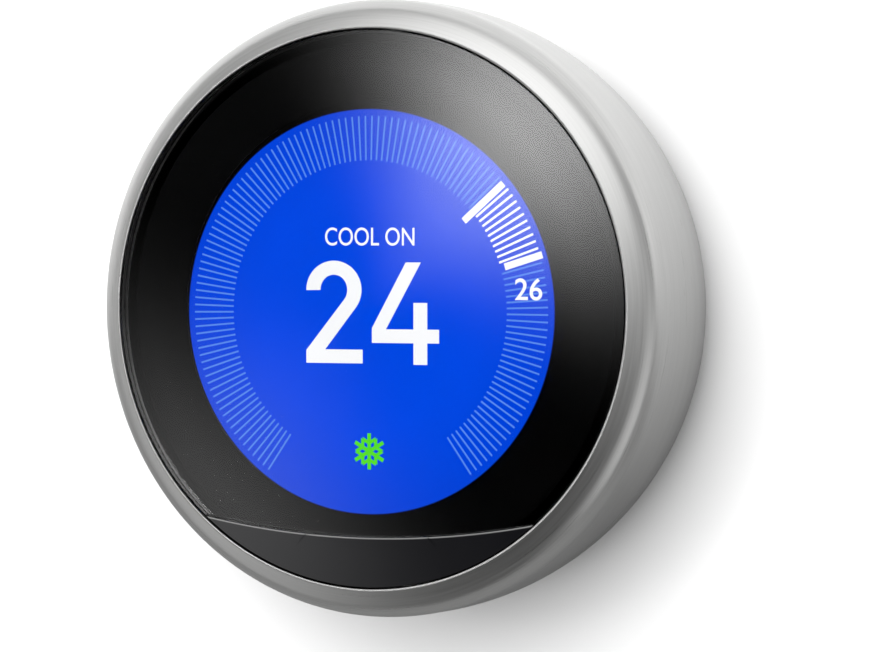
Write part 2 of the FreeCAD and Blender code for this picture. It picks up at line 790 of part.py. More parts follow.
def make_face_frame():
    """Moulded frame: plate, neck that the ring turns on, and rim under the lens."""
    body = new_body("face_frame")
    plate_outer = carrier_bore - fit_gap
    tape_rear = lens_rear - tape_thick
    corners = [
        (0, plate_rear),
        (neck_bore, plate_rear),
        (neck_bore, keeper_front),
        (neck_radius, keeper_front),
        (neck_radius, plate_rear),
        (plate_outer, plate_rear),
        (plate_outer, plate_front),
        (frame_rim_outer, plate_front),
        (frame_rim_outer, tape_rear),
        (frame_rim_inner, tape_rear),
        (frame_rim_inner, plate_front),
        (0, plate_front),
    ]
    turned(body, corners)
    plate_span = (plate_rear - cut_past, plate_front + cut_past)
    pocketed(body, circles(around_circle(post_circle, guide_angles), guide_pin + pin_gap), *plate_span)
    pocketed(body, rectangle(0, cable_z, cable_width + cut_past, cable_slot), *plate_span)
    keeper_holes = circles(around_circle(screw_circle, keeper_angles), small_screw)
    pocketed(body, keeper_holes, keeper_front, plate_rear - shaft_end)


def make_display():
    """Backlight, panel, metal bezel, and the clear layer that bonds them to the lens."""
    for label, rear, front in (
        ("display_backlight", plate_front, backlight_front),
        ("display_panel", backlight_front, panel_front),
        ("optical_bond", panel_front, lens_rear),
    ):
        turned(new_body(label), washer(0, display_radius, rear, front))
    turned(new_body("display_bezel"), washer(display_radius, bezel_outer, plate_front, panel_front))
    tape = washer(frame_rim_inner, frame_rim_outer, lens_rear - tape_thick, lens_rear)
    turned(new_body("lens_tape"), tape)


def make_display_cable():
    """Ribbon from the display through the face plate to its connector on the main board."""
    body = new_body("display_cable")
    low = board_front + connector_lid
    corners = [
        (-low, cable_z),
        (-plate_front, cable_z),
        (-plate_front, cable_z + cable_thick),
        (-low, cable_z + cable_thick),
    ]
    strip(body, "YZ_Plane", corners, cable_width)


def make_keeper():
    """Flat ring screwed to the neck; it keeps the carrier's flange on."""
    body = new_body("ring_keeper")
    turned(body, washer(neck_bore, carrier_bore - fit_gap, keeper_rear, keeper_front))
    places = around_circle(screw_circle, keeper_angles)
    pocketed(body, circles(places, small_screw), keeper_rear - cut_past, keeper_front + cut_past)
    head_end = keeper_rear - keeper_head_height
    screws("keeper_screws", places, keeper_screw_head, plate_rear - shaft_end, keeper_rear, head_end)


def make_face_sensors():
    """Sensor board behind the window with motion, distance and light sensors."""
    inner = bezel_outer + fit_gap
    outer = frame_rim_inner - fit_gap
    middle = (inner + outer) / 2
    rear = plate_front
    front = rear + sensor_board_thick
    board = new_body("sensor_board")
    padded(board, sector(inner, outer, 270 - sensor_spread, 270 + sensor_spread), rear, front)
    can = new_body("motion_sensor")
    padded(can, rectangle(0, -middle, motion_width, motion_height), front, front + motion_thick)
    lens = new_body("motion_lens")
    lens_back = lens_rear - motion_lens_thick
    padded(lens, rectangle(0, -middle, motion_lens_width, motion_lens_height), lens_back, lens_rear)
    for side in (-1, 1):
        leg_x = (motion_lens_width - motion_lens_wall) / 2 * side
        leg = rectangle(leg_x, -middle, motion_lens_wall, motion_lens_height)
        padded(lens, leg, front, lens_back)
    near_places = around_circle(middle, (253, 287))
    near = [block(x, z, 2.4, 2.0, front, front + 1.2) for x, z in near_places]
    light_x, light_z = on_circle(middle, 281)
    light = block(light_x, light_z, 1.8, 1.8, front, front + 0.9)
    group("window_sensors", near + [light])


def make_plunger():
    """Nub on the face plate that works the press switch."""
    body = new_body("press_plunger")
    tip = board_front + switch_height + dome_height + dome_gap
    padded(body, circles([(0, 0)], plunger_radius), tip, plate_rear)


# ---------------------------------------------------------------- head


def make_back_cover():
    """Back cover: floor, skirt over the base's rim, posts, and openings for plug and port."""
    body = new_body("head_back_cover")
    groove = flange_thick + clip_bend
    groove_radius = skirt_inner + detent_depth
    corners = [
        (0, cover_rear),
        (skirt_inner, cover_rear),
        (skirt_inner, groove + detent_half + detent_slope),
        (groove_radius, groove + detent_half),
        (groove_radius, groove - detent_half),
        (skirt_inner, groove - detent_half - detent_slope),
        (skirt_inner, skirt_rear + skirt_chamfer),
        (skirt_inner + skirt_chamfer, skirt_rear),
        (skirt_outer, skirt_rear),
        (skirt_outer, skirt_front),
        (skirt_inner, skirt_front),
        (skirt_inner, cover_front),
        (0, cover_front),
    ]
    turned(body, corners)
    floor_span = (cover_rear - cut_past, cover_front + cut_past)
    posts = around_circle(post_circle, guide_angles + screw_angles)
    padded(body, circles(posts, post_radius), cover_front, board_rear)
    pins = circles(around_circle(post_circle, guide_angles), guide_pin)
    pocketed(body, pins, cover_front - shaft_end, board_rear)
    threads = circles(around_circle(post_circle, screw_angles), small_screw)
    pocketed(body, threads, cover_front - shaft_end, board_rear)
    clear = fit_gap * 2
    plug = rectangle(0, -connector_z, connector_width + clear, connector_height + clear)
    pocketed(body, plug, *floor_span)
    pocketed(body, rectangle(port_x, port_z, port_width + clear, port_height + clear), *floor_span)
    notch_middle = skirt_inner + skirt_wall / 2
    notch = rectangle(notch_middle, 0, skirt_wall + cut_past, ring_sensor_size + cut_past * 2)
    pocketed(body, notch, board_rear - fit_gap, skirt_front + cut_past)
    first_x = -(vent_pitch * (vents - 1) / 2)
    first = pocketed(body, rectangle(first_x, vent_z, vent_width, vent_height), *floor_span)
    along(body, [first], "X_Axis", vent_pitch, vents)


def make_main_board():
    """Round circuit board on six posts, with holes for pins and screws."""
    body = new_body("main_board")
    span = (board_rear - cut_past, board_front + cut_past)
    turned(body, washer(0, board_radius, board_rear, board_front))
    guides = circles(around_circle(post_circle, guide_angles), guide_pin + fit_gap)
    pocketed(body, guides, *span)
    threads = circles(around_circle(post_circle, screw_angles), small_screw + fit_gap)
    pocketed(body, threads, *span)
    first = pocketed(body, first_contact(pin_size), *span)
    over_contacts(body, [first])


def first_contact(width):
    """Square of that width at the connector's lower left contact."""
    x = -(pin_pitch * (pins_per_row - 1) / 2)
    return rectangle(x, -(connector_z + pin_pitch / 2), width, width)


def over_contacts(body, features):
    """Repeats features over both rows of the connector."""
    grid = body.newObject("PartDesign::MultiTransform", "contacts")
    row = body.newObject("PartDesign::LinearPattern", "row")
    row.Direction = (origin_item(body, "X_Axis"), [""])
    sized(row, Length=pin_pitch * (pins_per_row - 1))
    row.Occurrences = pins_per_row
    column = body.newObject("PartDesign::LinearPattern", "column")
    column.Direction = (origin_item(body, "Z_Axis"), [""])
    sized(column, Length=pin_pitch)
    column.Occurrences = 2
    grid.Originals = features
    grid.Transformations = [row, column]
    body.Tip = grid
    doc.recompute()


def make_plug():
    """Plug on the main board, and its pins, which reach into the base's socket."""
    body = new_body("head_plug")
    plug_rear = cover_rear - plug_rise
    outline = rectangle(0, -connector_z, connector_width, connector_height)
    padded(body, outline, plug_rear, board_rear)
    first = pocketed(body, first_contact(pin_size), plug_rear - cut_past, board_rear + cut_past)
    over_contacts(body, [first])
    pins = new_body("head_plug_pins")
    tip = base_board_front + socket_rise - pin_reach
    over_contacts(pins, [padded(pins, first_contact(pin_size), tip, board_front)])


def make_guides():
    """Guide pins for the pressed face, with heads that hold it, and the springs round them."""
    places = around_circle(post_circle, guide_angles)
    head_rear = plate_front + glide_gap
    pins = []
    for x, z in places:
        shank = rod(x, z, guide_pin, cover_front - shaft_end, head_rear)
        head = rod(x, z, guide_pin_head, head_rear, head_rear + guide_head_height)
        pins.append(joined(shank, head))
    group("guide_pins", pins)
    group("press_springs", [spring(x, z) for x, z in places])


def spring(x, z):
    """A coil spring between the main board and the face plate."""
    rear = board_front + spring_wire
    length = component_room - spring_wire * 2
    helix = doc.addObject("Part::Helix", "helix")
    sized(helix, Pitch=length / spring_turns, Height=length, Radius=spring_radius)
    wire = sized(doc.addObject("Part::Circle", "wire"), Radius=spring_wire)
    wire.Placement.Rotation = FreeCAD.Rotation(FreeCAD.Vector(1, 0, 0), 90)
    place(wire, spring_radius, 0, 0)
    coil = doc.addObject("Part::Sweep", "coil")
    coil.Sections = [wire]
    coil.Spine = (helix, ["Edge1"])
    coil.Solid = True
    coil.Frenet = False
    coil.Placement.Rotation = FreeCAD.Rotation(FreeCAD.Vector(1, 0, 0), 90)
    place(coil, x, rear, z)
    return coil


def make_switch():
    """Press switch on the main board, and its snap dome."""
    rear = board_front + switch_height
    as_part("press_switch", block(0, 0, switch_size, switch_size, board_front, rear))
    dome = new_body("switch_dome")
    curve = (dome_radius * dome_radius + dome_height * dome_height) / (dome_height * 2)
    corners = [(0, rear), (dome_radius, rear), (0, rear + dome_height)]
    turned(dome, corners, {1: (curve, True)})


def make_battery():
    """Rechargeable cell on the main board."""
    body = new_body("battery")
    outline = rectangle(battery_x, battery_z, battery_width, battery_height)
    padded(body, outline, board_front, board_front + battery_thick)


def make_shield(label, x, z, width, height, rise):
    """Pressed metal can over part of the circuit."""
    body = new_body(label)
    top = board_front + rise
    hollow = rectangle(x, z, as_size(width) - shield_wall * 2, as_size(height) - shield_wall * 2)
    padded(body, rectangle(x, z, width, height), board_front, top)
    pocketed(body, hollow, board_front, top - shield_wall)


def make_board_parts():
    """Shields, chips, capacitors, sounder and connectors on the main board."""
    make_shield("processor_shield", 15.5, 11.0, 15.0, 14.0, 2.2)
    make_shield("radio_shield", 15.0, -7.5, 11.0, 11.0, 1.8)
    chips = (
        (13.0, 11.0, 6.0, 6.0, 1.0),
        (19.0, 11.0, 3.6, 5.0, 0.9),
        (15.0, -7.5, 5.0, 5.0, 0.9),
        (0.5, -9.0, 4.0, 4.0, 1.0),
        (0.5, 10.5, 3.0, 4.0, 1.0),
        (12.0, -28.5, 3.0, 3.0, 1.0),
    )
    group(
        "board_chips",
        [
            block(x, z, width, height, board_front, board_front + rise)
            for x, z, width, height, rise in chips
        ],
    )
    cans = ((-4.5, -17.5), (-8.5, -18.5), (25.0, -5.5), (25.0, -9.5), (3.5, 28.0))
    group(
        "board_capacitors",
        [rod(x, z, can_radius, board_front, board_front + can_height) for x, z in cans],
    )
    as_part("sounder", rod(9.5, -22.5, sounder_radius, board_front, board_front + sounder_height))
    ribbon = block(0, cable_z, cable_width + 2, 2.6, board_front, board_front + connector_lid)
    cell = block(battery_x, battery_z - battery_height / 2 - 2.2, 5, 3, board_front, board_front + 2.2)
    group("board_connectors", [ribbon, cell])


def make_antenna():
    """Bent metal strip that serves as the radio antenna."""
    foot = block(-13.0, 24.0, antenna_width, 2.2, board_front, board_front + antenna_metal)
    wall_z = 24.0 + 1.1 - antenna_metal / 2
    wall = block(-13.0, wall_z, antenna_width, antenna_metal, board_front, board_front + 4.6)
    as_part("radio_antenna", joined(foot, wall))


def make_ring_sensor():
    """Optical sensor at the board's edge; it reads the code band through the skirt's notch."""
    middle = code_band_bore - ring_sensor_gap - ring_sensor_size / 2
    front = keeper_rear - ring_sensor_room
    sensor = block(middle, 0, ring_sensor_size, ring_sensor_size, board_front, front)
    as_part("ring_sensor", sensor)


def make_service_port():
    """Small socket on the board's rear, reached when the head is off the base."""
    rear = board_rear - port_reach
    floor = board_rear - port_wall * 2
    shell = block(port_x, port_z, port_width, port_height, rear, board_rear)
    inner_width = port_width - port_wall * 2
    inner_height = port_height - port_wall * 2
    hollow = block(port_x, port_z, inner_width, inner_height, rear - cut_past, floor)
    tongue = block(port_x, port_z, port_width / 2, port_wall * 2, rear + port_wall, floor)
    as_part("service_port", joined(minus(shell, hollow), tongue))


def make_board_screws():
    places = around_circle(post_circle, screw_angles)
    tip = cover_front - shaft_end
    screws("board_screws", places, screw_head, tip, board_front, board_front + screw_head_height)


# ---------------------------------------------------------------- base


block_middle = rim_inner - block_inset - block_width / 2
block_length = terminal_pitch * terminals + block_margin * 2
level_depth = base_board_front + level_radius + level_lift
cradle_length = level_length + cradle_end * 2
cradle_height = (level_radius + cradle_wall) * 2


def make_base_plate():
    """Plate screwed to the wall: floor, rim, screw bosses, wire opening and level cradle."""
    body = new_body("base_plate")
    rim_front = flange_thick + rim_height
    corners = [
        (wire_opening, 0),
        (flange_radius, 0),
        (flange_radius, flange_thick),
        (rim_outer, flange_thick),
        (rim_outer, rim_front),
        (rim_inner, rim_front),
        (rim_inner, flange_thick),
        (wire_opening, flange_thick),
    ]
    turned(body, corners)
    screw_places = [(0, wall_screw_reach), (0, -wall_screw_reach)]
    boss_front = flange_thick + wall_boss_height
    bosses = circles(screw_places, wall_screw_seat + wall_boss_wall)
    padded(body, bosses, flange_thick, boss_front)
    cradle = rectangle(0, level_z, cradle_length, cradle_height)
    padded(body, cradle, flange_thick, base_board_front + cradle_rise)
    pocketed(body, circles(screw_places, wall_screw_hole), -cut_past, boss_front + cut_past)
    seat = boss_front - screw_seat_depth
    pocketed(body, circles(screw_places, wall_screw_seat), seat, boss_front + cut_past)
    cut_level_bed(body)
    rim_middle = (rim_inner + rim_outer) / 2
    for side in (-1, 1):
        gap = rectangle(rim_middle * side, 0, rim_wall + fit_gap * 4, clip_width + fit_gap * 4)
        pocketed(body, gap, flange_thick, rim_front + cut_past)
    recess_outer = wall_screw_reach - wall_screw_seat - wall_boss_wall
    recess_last = 360 / recess_count - recess_rib
    shallow = sector(wire_opening + recess_edge, recess_outer, recess_rib, recess_last)
    around(body, [pocketed(body, shallow, -cut_past, recess_depth)], recess_count)


def cut_level_bed(body):
    """Half-round bed for the level, cut across its cradle."""
    before = volume_so_far(body)
    sketch = new_sketch(body, "YZ_Plane")
    draw_circle(sketch, -level_depth, level_z, level_radius)
    feature = body.newObject("PartDesign::Pocket", "bed")
    feature.Profile = sketch
    sized(feature, Length=cradle_length + cut_past * 2)
    feature.Midplane = True
    finish_feature(body, before, adds=False)


def capsule(radius, straight):
    """A rod with round ends, across the base at the level's place."""
    core = doc.addObject("Part::Cylinder", "core")
    sized(core, Radius=radius, Height=straight)
    core.Placement.Rotation = FreeCAD.Rotation(FreeCAD.Vector(0, 1, 0), 90)
    place(core, -(straight / 2), level_depth, level_z)
    ends = []
    for side in (-1, 1):
        ball = sized(doc.addObject("Part::Sphere", "ball"), Radius=radius)
        place(ball, straight / 2 * side, level_depth, level_z)
        ends.append(ball)
    return joined(core, *ends)


def make_level():
    """Clear vial, and the fluid inside it, which leaves a bubble."""
    inner = level_radius - level_wall
    straight = level_length - level_radius
    as_part("level_vial", minus(capsule(level_radius, straight), capsule(inner, straight)))
    bubble = sized(doc.addObject("Part::Sphere", "bubble"), Radius=bubble_radius)
    place(bubble, 0, level_depth, level_z + inner - bubble_radius - bearing_gap)
    as_part("level_fluid", minus(capsule(inner, straight), bubble))


def make_base_board():
    """Ring-shaped circuit board under the terminals and the socket."""
    body = new_body("base_board")
    outer = rim_inner - fit_gap
    turned(body, washer(wire_opening + recess_edge / 2, outer, flange_thick, base_board_front))
    span = (flange_thick - cut_past, base_board_front + cut_past)
    screw_places = [(0, wall_screw_reach), (0, -wall_screw_reach)]
    pocketed(body, circles(screw_places, wall_screw_seat + wall_boss_wall + fit_gap), *span)
    clear = fit_gap * 2
    pocketed(body, rectangle(0, level_z, cradle_length + clear, cradle_height + clear), *span)
    for side in (-1, 1):
        notch = rectangle(outer * side, 0, clip_foot * 2, clip_width + clear)
        pocketed(body, notch, *span)


def make_terminals(name, side):
    """Terminal block, its wire clamps and its five wire tabs, on one side of the opening."""
    lowest = -(terminal_pitch * (terminals - 1) / 2)
    middle = block_middle * side
    tab_x = (block_middle + well_offset) * side
    well_rear = base_board_front + well_floor
    well_width = tab_length + tab_gap * 2
    leg_x = tab_x + (well_width - clamp_leg) / 2 * side
    leg = rectangle(leg_x, lowest, clamp_leg, clamp_width)

    body = new_body(f"terminal_block_{name}")
    outline = rectangle(middle, 0, block_width, block_length)
    padded(body, outline, base_board_front, block_front)
    well_outline = rectangle(tab_x, lowest, well_width, tab_width + tab_gap * 2)
    well = pocketed(body, well_outline, well_rear, block_front + cut_past)
    entry_length = block_width / 2 + well_offset - well_width / 2 + cut_past * 2
    entry_x = tab_x - (well_width / 2 - cut_past + entry_length / 2) * side
    entry_rear = base_board_front + entry_floor
    entry_outline = rectangle(entry_x, lowest, entry_length, entry_size)
    entry = pocketed(body, entry_outline, entry_rear, entry_rear + entry_size)
    slot = pocketed(body, leg, base_board_front - cut_past, well_rear)
    along(body, [well, entry, slot], "Z_Axis", terminal_pitch, terminals)

    clamps = new_body(f"wire_clamps_{name}")
    flat = rectangle(tab_x, lowest, tab_length, clamp_width)
    spring_strip = padded(clamps, flat, well_rear, well_rear + clamp_thick)
    foot = padded(clamps, leg, base_board_front, well_rear + clamp_thick)
    along(clamps, [spring_strip, foot], "Z_Axis", terminal_pitch, terminals)

    dish_length = tab_length - tab_dish_edge * 2
    dish_width = tab_width - tab_dish_edge * 2
    for number in range(terminals):
        tab = new_body(f"wire_tab_{name}_{number + 1}")
        z = lowest + terminal_pitch * number
        padded(tab, rectangle(tab_x, z, tab_length, tab_width), tab_front - tab_height, tab_front)
        dish = rectangle(tab_x, z, dish_length, dish_width)
        pocketed(tab, dish, tab_front - tab_dish, tab_front + cut_past)


def make_socket():
    """Socket on the base board, and the sprung contacts in it."""
    front = base_board_front + socket_rise
    body = new_body("base_socket")
    outline = rectangle(0, -connector_z, connector_width, connector_height)
    padded(body, outline, base_board_front, front)
    hole = pocketed(body, first_contact(contact_metal), base_board_front - cut_past, front + cut_past)
    over_contacts(body, [hole])
    contacts = new_body("base_socket_contacts")
    bore_rear = front - pin_reach - fit_gap
    tube = padded(contacts, first_contact(contact_metal), base_board_front, front - fit_gap)
    bore_outline = first_contact(pin_size + contact_gap * 2)
    bore = pocketed(contacts, bore_outline, bore_rear, front + cut_past)
    over_contacts(contacts, [tube, bore])


def make_clips():
    """Two sprung steel clips that snap into the groove of the back cover's skirt."""
    body = new_body("retaining_clips")
    outer = rim_outer - fit_gap
    inner = outer - clip_thick
    bend = flange_thick + clip_bend
    top = flange_thick + clip_height
    corners = [
        (inner - clip_foot, flange_thick),
        (outer, flange_thick),
        (outer, bend - clip_bulge),
        (outer + clip_bulge, bend),
        (outer, bend + clip_bulge),
        (outer, top),
        (inner, top),
        (inner, bend + clip_bulge),
        (inner + clip_bulge, bend),
        (inner, bend - clip_bulge),
        (inner, flange_thick + clip_thick),
        (inner - clip_foot, flange_thick + clip_thick),
    ]
    feature = strip(body, "XY_Plane", [(x, -as_size(depth)) for x, depth in corners], clip_width)
    around(body, [feature], 2)


# ---------------------------------------------------------------- build, check and write


def check_and_write():
    """Refuses failed objects and empty shapes, then writes each sub-part as STEP."""
    doc.recompute()
    for item in doc.Objects:
        if "Invalid" in item.State or "Error" in item.State:
            raise RuntimeError(f"{item.Label} failed: {item.State}")
    for item in parts:
        if item.Shape.isNull() or not item.Shape.isValid() or not item.Shape.Solids:
            raise RuntimeError(f"{item.Label} has no valid solid")
    os.makedirs("parts", exist_ok=True)
    for item in parts:
        item.Shape.exportStep(os.path.join("parts", f"{item.Label}.step"))
        print(f"{item.Label}: {len(item.Shape.Solids)} solids, {item.Shape.Volume:.1f} mm3")
    print(len(parts), "parts")


make_outer_ring()
make_ring_carrier()
make_ring_trim()
make_front_glass()
make_sensor_window()
make_face_frame()
make_display()
make_display_cable()
make_keeper()
make_face_sensors()
make_plunger()
make_back_cover()
make_main_board()
make_plug()
make_guides()
make_switch()
make_battery()
make_board_parts()
make_antenna()
make_ring_sensor()
make_service_port()
make_board_screws()
make_base_plate()
make_level()
make_base_board()
make_terminals("left", -1)
make_terminals("right", 1)
make_socket()
make_clips()
check_and_write()
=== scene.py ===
import bpy
import json
import math
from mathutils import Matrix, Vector

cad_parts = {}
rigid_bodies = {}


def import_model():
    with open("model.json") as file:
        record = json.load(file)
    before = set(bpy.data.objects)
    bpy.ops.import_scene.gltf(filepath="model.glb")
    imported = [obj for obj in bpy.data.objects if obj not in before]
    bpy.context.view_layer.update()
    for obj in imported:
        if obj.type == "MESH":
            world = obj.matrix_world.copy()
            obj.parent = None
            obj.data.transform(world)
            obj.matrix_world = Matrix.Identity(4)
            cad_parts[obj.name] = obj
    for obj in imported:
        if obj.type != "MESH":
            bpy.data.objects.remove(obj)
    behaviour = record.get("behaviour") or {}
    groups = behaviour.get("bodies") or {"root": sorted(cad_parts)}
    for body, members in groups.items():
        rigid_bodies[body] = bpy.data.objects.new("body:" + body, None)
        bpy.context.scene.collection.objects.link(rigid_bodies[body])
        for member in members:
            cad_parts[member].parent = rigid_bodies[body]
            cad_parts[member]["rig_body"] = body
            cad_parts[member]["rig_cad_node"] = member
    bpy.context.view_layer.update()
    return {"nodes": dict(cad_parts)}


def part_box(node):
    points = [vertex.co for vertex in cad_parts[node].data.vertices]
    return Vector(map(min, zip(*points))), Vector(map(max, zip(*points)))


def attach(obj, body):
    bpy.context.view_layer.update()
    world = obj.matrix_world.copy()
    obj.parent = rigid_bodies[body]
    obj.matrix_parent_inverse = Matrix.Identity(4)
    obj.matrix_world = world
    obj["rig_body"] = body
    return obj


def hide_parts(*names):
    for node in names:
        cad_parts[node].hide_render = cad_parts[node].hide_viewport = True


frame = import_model()
nodes = frame["nodes"]
MM = 0.001
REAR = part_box("base_plate")[1].y

# ---- Wall plate -----------------------------------------------------------------------------
# Round back plate of white ABS, injection moulded, with the rim that the head snaps over and
# two screw bosses. Two screws hold it to the wall; its open face has a fine spark-eroded grain.


def new_material(name):
    """An empty node material with its Principled shader, and the piece's own coordinates."""
    material = bpy.data.materials.new(name)
    material.use_nodes = True
    tree = material.node_tree
    place = tree.nodes.new("ShaderNodeTexCoord").outputs["Object"]
    return material, tree, tree.nodes["Principled BSDF"], place


def noise(tree, place, size, detail=3.0, stretch=(1, 1, 1)):
    """Noise whose grain is size metres across, drawn out along any axis by stretch."""
    mapping = tree.nodes.new("ShaderNodeMapping")
    mapping.inputs["Scale"].default_value = [1 / part for part in stretch]
    tree.links.new(place, mapping.inputs["Vector"])
    pattern = tree.nodes.new("ShaderNodeTexNoise")
    pattern.inputs["Scale"].default_value = 1 / size
    pattern.inputs["Detail"].default_value = detail
    tree.links.new(mapping.outputs["Vector"], pattern.inputs["Vector"])
    return pattern.outputs["Fac"]


def spread(tree, value, low, high, start=0.3, end=0.7):
    """A number that goes from low to high as value goes from start to end."""
    node = tree.nodes.new("ShaderNodeMapRange")
    for socket, number in (("From Min", start), ("From Max", end), ("To Min", low), ("To Max", high)):
        node.inputs[socket].default_value = number
    tree.links.new(value, node.inputs["Value"])
    return node.outputs["Result"]


def blended(tree, factor, first, second):
    """A colour that goes from first to second with factor; either may be a socket."""
    node = tree.nodes.new("ShaderNodeMix")
    node.data_type = "RGBA"
    tree.links.new(factor, node.inputs["Factor"])
    for socket, colour in ((node.inputs["A"], first), (node.inputs["B"], second)):
        if isinstance(colour, bpy.types.NodeSocket):
            tree.links.new(colour, socket)
        else:
            socket.default_value = (*colour, 1)
    return node.outputs["Result"]


def relief(tree, shader, height, depth):
    """Bump of depth metres driven by height."""
    node = tree.nodes.new("ShaderNodeBump")
    node.inputs["Distance"].default_value = depth
    tree.links.new(height, node.inputs["Height"])
    tree.links.new(node.outputs["Normal"], shader.inputs["Normal"])


def grained(
    name, colour, roughness, grain=0.0004, shade=0.85, depth=0.00002, metallic=0.0, stretch=(1, 1, 1)
):
    """Moulded or cast finish: a fine grain, and slow changes of shade and gloss across it."""
    material, tree, shader, place = new_material(name)
    fine = noise(tree, place, grain, 4, stretch)
    slow = noise(tree, place, grain * 30, 3)
    darker = [part * shade for part in colour]
    tint = blended(tree, spread(tree, slow, 0, 1), darker, colour)
    tree.links.new(tint, shader.inputs["Base Color"])
    gloss = spread(tree, fine, roughness * 0.85, min(roughness * 1.2, 1))
    tree.links.new(gloss, shader.inputs["Roughness"])
    shader.inputs["Metallic"].default_value = metallic
    relief(tree, shader, fine, depth)
    return material


def dress(material, *names):
    """Gives CAD nodes a material."""
    for name in names:
        for material_slot in nodes[name].material_slots:
            material_slot.material = material


def deselect():
    """Leaves nothing selected."""
    bpy.ops.object.select_all(action="DESELECT")


def edit(piece):
    """Opens a piece in edit mode with nothing selected."""
    deselect()
    bpy.context.view_layer.objects.active = piece
    piece.select_set(True)
    bpy.ops.object.mode_set(mode="EDIT")
    bpy.ops.mesh.select_all(action="DESELECT")


def smoothed(piece, degrees=30):
    """Smooth shading except over edges sharper than degrees."""
    deselect()
    bpy.context.view_layer.objects.active = piece
    piece.select_set(True)
    bpy.ops.object.shade_smooth_by_angle(angle=math.radians(degrees))


def apply_all(piece):
    """Applies every modifier, top first."""
    deselect()
    bpy.context.view_layer.objects.active = piece
    piece.select_set(True)
    for modifier in list(piece.modifiers):
        bpy.ops.object.modifier_apply(modifier=modifier.name)


def finish(piece, material, body, slot, *stands_for):
    """Material, body and the CAD nodes that a piece stands for; slot is not used."""
    piece.data.materials.clear()
    piece.data.materials.append(material)
    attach(piece, body)
    if stands_for:
        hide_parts(*stands_for)


def softened(node, body, material, slot, radius):
    """A copy of a moulded or pressed CAD part with its edges rounded, which stands for it."""
    deselect()
    bpy.context.view_layer.objects.active = nodes[node]
    nodes[node].select_set(True)
    bpy.ops.object.duplicate()
    piece = bpy.context.active_object
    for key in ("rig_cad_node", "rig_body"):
        del piece[key]
    piece.parent = None
    piece.name = node + "_finished"
    piece.data.name = piece.name
    edit(piece)
    bpy.ops.mesh.select_all(action="SELECT")
    bpy.ops.mesh.remove_doubles(threshold=0.000002)
    bpy.ops.mesh.dissolve_limited(angle_limit=math.radians(1))
    bpy.ops.object.mode_set(mode="OBJECT")
    bevel = piece.modifiers.new("rounded_edges", "BEVEL")
    bevel.width = radius
    bevel.segments = 2
    bevel.limit_method = "ANGLE"
    bevel.angle_limit = math.radians(35)
    apply_all(piece)
    smoothed(piece)
    finish(piece, material, body, slot, node)


PLATE_WHITE = (0.80, 0.80, 0.78)
plate_plastic = grained("plate_plastic", PLATE_WHITE, 0.5)
dress(plate_plastic, "base_plate")

# ---- Base board and its connector -----------------------------------------------------------
# Etched circuit board riveted in the wall plate, with green solder mask over copper tracks, and
# the black nylon socket with gilt contacts that the head plugs into.

def maths(tree, operation, first, second):
    """One sum; either side may be a socket or a number."""
    node = tree.nodes.new("ShaderNodeMath")
    node.operation = operation
    for socket, value in zip(node.inputs, (first, second)):
        if isinstance(value, bpy.types.NodeSocket):
            tree.links.new(value, socket)
        else:
            socket.default_value = value
    return node.outputs["Value"]


def separated(tree, place):
    """The three parts of a place, as sockets."""
    node = tree.nodes.new("ShaderNodeSeparateXYZ")
    tree.links.new(place, node.inputs["Vector"])
    return node.outputs


MASK_GREEN = (0.012, 0.10, 0.045)
TRACK_GREEN = (0.03, 0.19, 0.09)
TRACK_PITCH = 0.0016
TRACK_SHARE = 0.42
PATCHES_PER_TRACK = 0.12


def solder_mask(name):
    """Solder mask over copper: straight tracks in patches, raised a little, with tinned vias."""
    material, tree, shader, place = new_material(name)
    patches = tree.nodes.new("ShaderNodeTexVoronoi")
    patches.inputs["Scale"].default_value = PATCHES_PER_TRACK / TRACK_PITCH
    tree.links.new(place, patches.inputs["Vector"])
    split = separated(tree, place)
    turn = maths(tree, "GREATER_THAN", patches.outputs["Color"], 0.5)
    choose = tree.nodes.new("ShaderNodeMix")
    tree.links.new(turn, choose.inputs["Factor"])
    tree.links.new(split["X"], choose.inputs["A"])
    tree.links.new(split["Z"], choose.inputs["B"])
    wrap = maths(tree, "PINGPONG", choose.outputs["Result"], TRACK_PITCH / 2)
    edge = TRACK_PITCH / 2 * TRACK_SHARE
    track = spread(tree, wrap, 1, 0, edge, edge * 1.15)
    colour = blended(tree, track, MASK_GREEN, TRACK_GREEN)
    tree.links.new(colour, shader.inputs["Base Color"])
    grain = noise(tree, place, 0.0005)
    tree.links.new(spread(tree, grain, 0.28, 0.4), shader.inputs["Roughness"])
    relief(tree, shader, track, 0.00003)
    return material


board_finish = solder_mask("solder_mask_green")
dress(board_finish, "base_board")
black_nylon = grained("black_nylon", (0.02, 0.02, 0.021), 0.42, 0.0003)
gilt = grained("gilt_contacts", (0.83, 0.60, 0.24), 0.26, 0.0002, 0.8, 0.000004, 1.0)
softened("base_socket", "base", black_nylon, "connector_black", 0.12 * MM)
dress(gilt, "base_socket_contacts")

# ---- Wire terminals -------------------------------------------------------------------------
# Two moulded blocks of light grey nylon, each with five wells. A white tab in each well is
# pressed to open the bent steel clamp under it, and springs back when the wire is in.

block_nylon = grained("block_nylon", (0.50, 0.51, 0.52), 0.48, 0.0003)
tab_nylon = grained("tab_nylon", (0.78, 0.78, 0.76), 0.40, 0.0003)
spring_steel = grained("spring_steel", (0.56, 0.56, 0.55), 0.28, 0.0002, 0.85, 0.000004, 1.0, (1, 6, 1))
TABS_PER_SIDE = 5
for side in ("left", "right"):
    softened("terminal_block_" + side, "base", block_nylon, "terminal_grey", 0.18 * MM)
    dress(spring_steel, "wire_clamps_" + side)
    for number in range(1, TABS_PER_SIDE + 1):
        tab = f"wire_tab_{side}_{number}"
        softened(tab, tab, tab_nylon, "tab_white", 0.22 * MM)

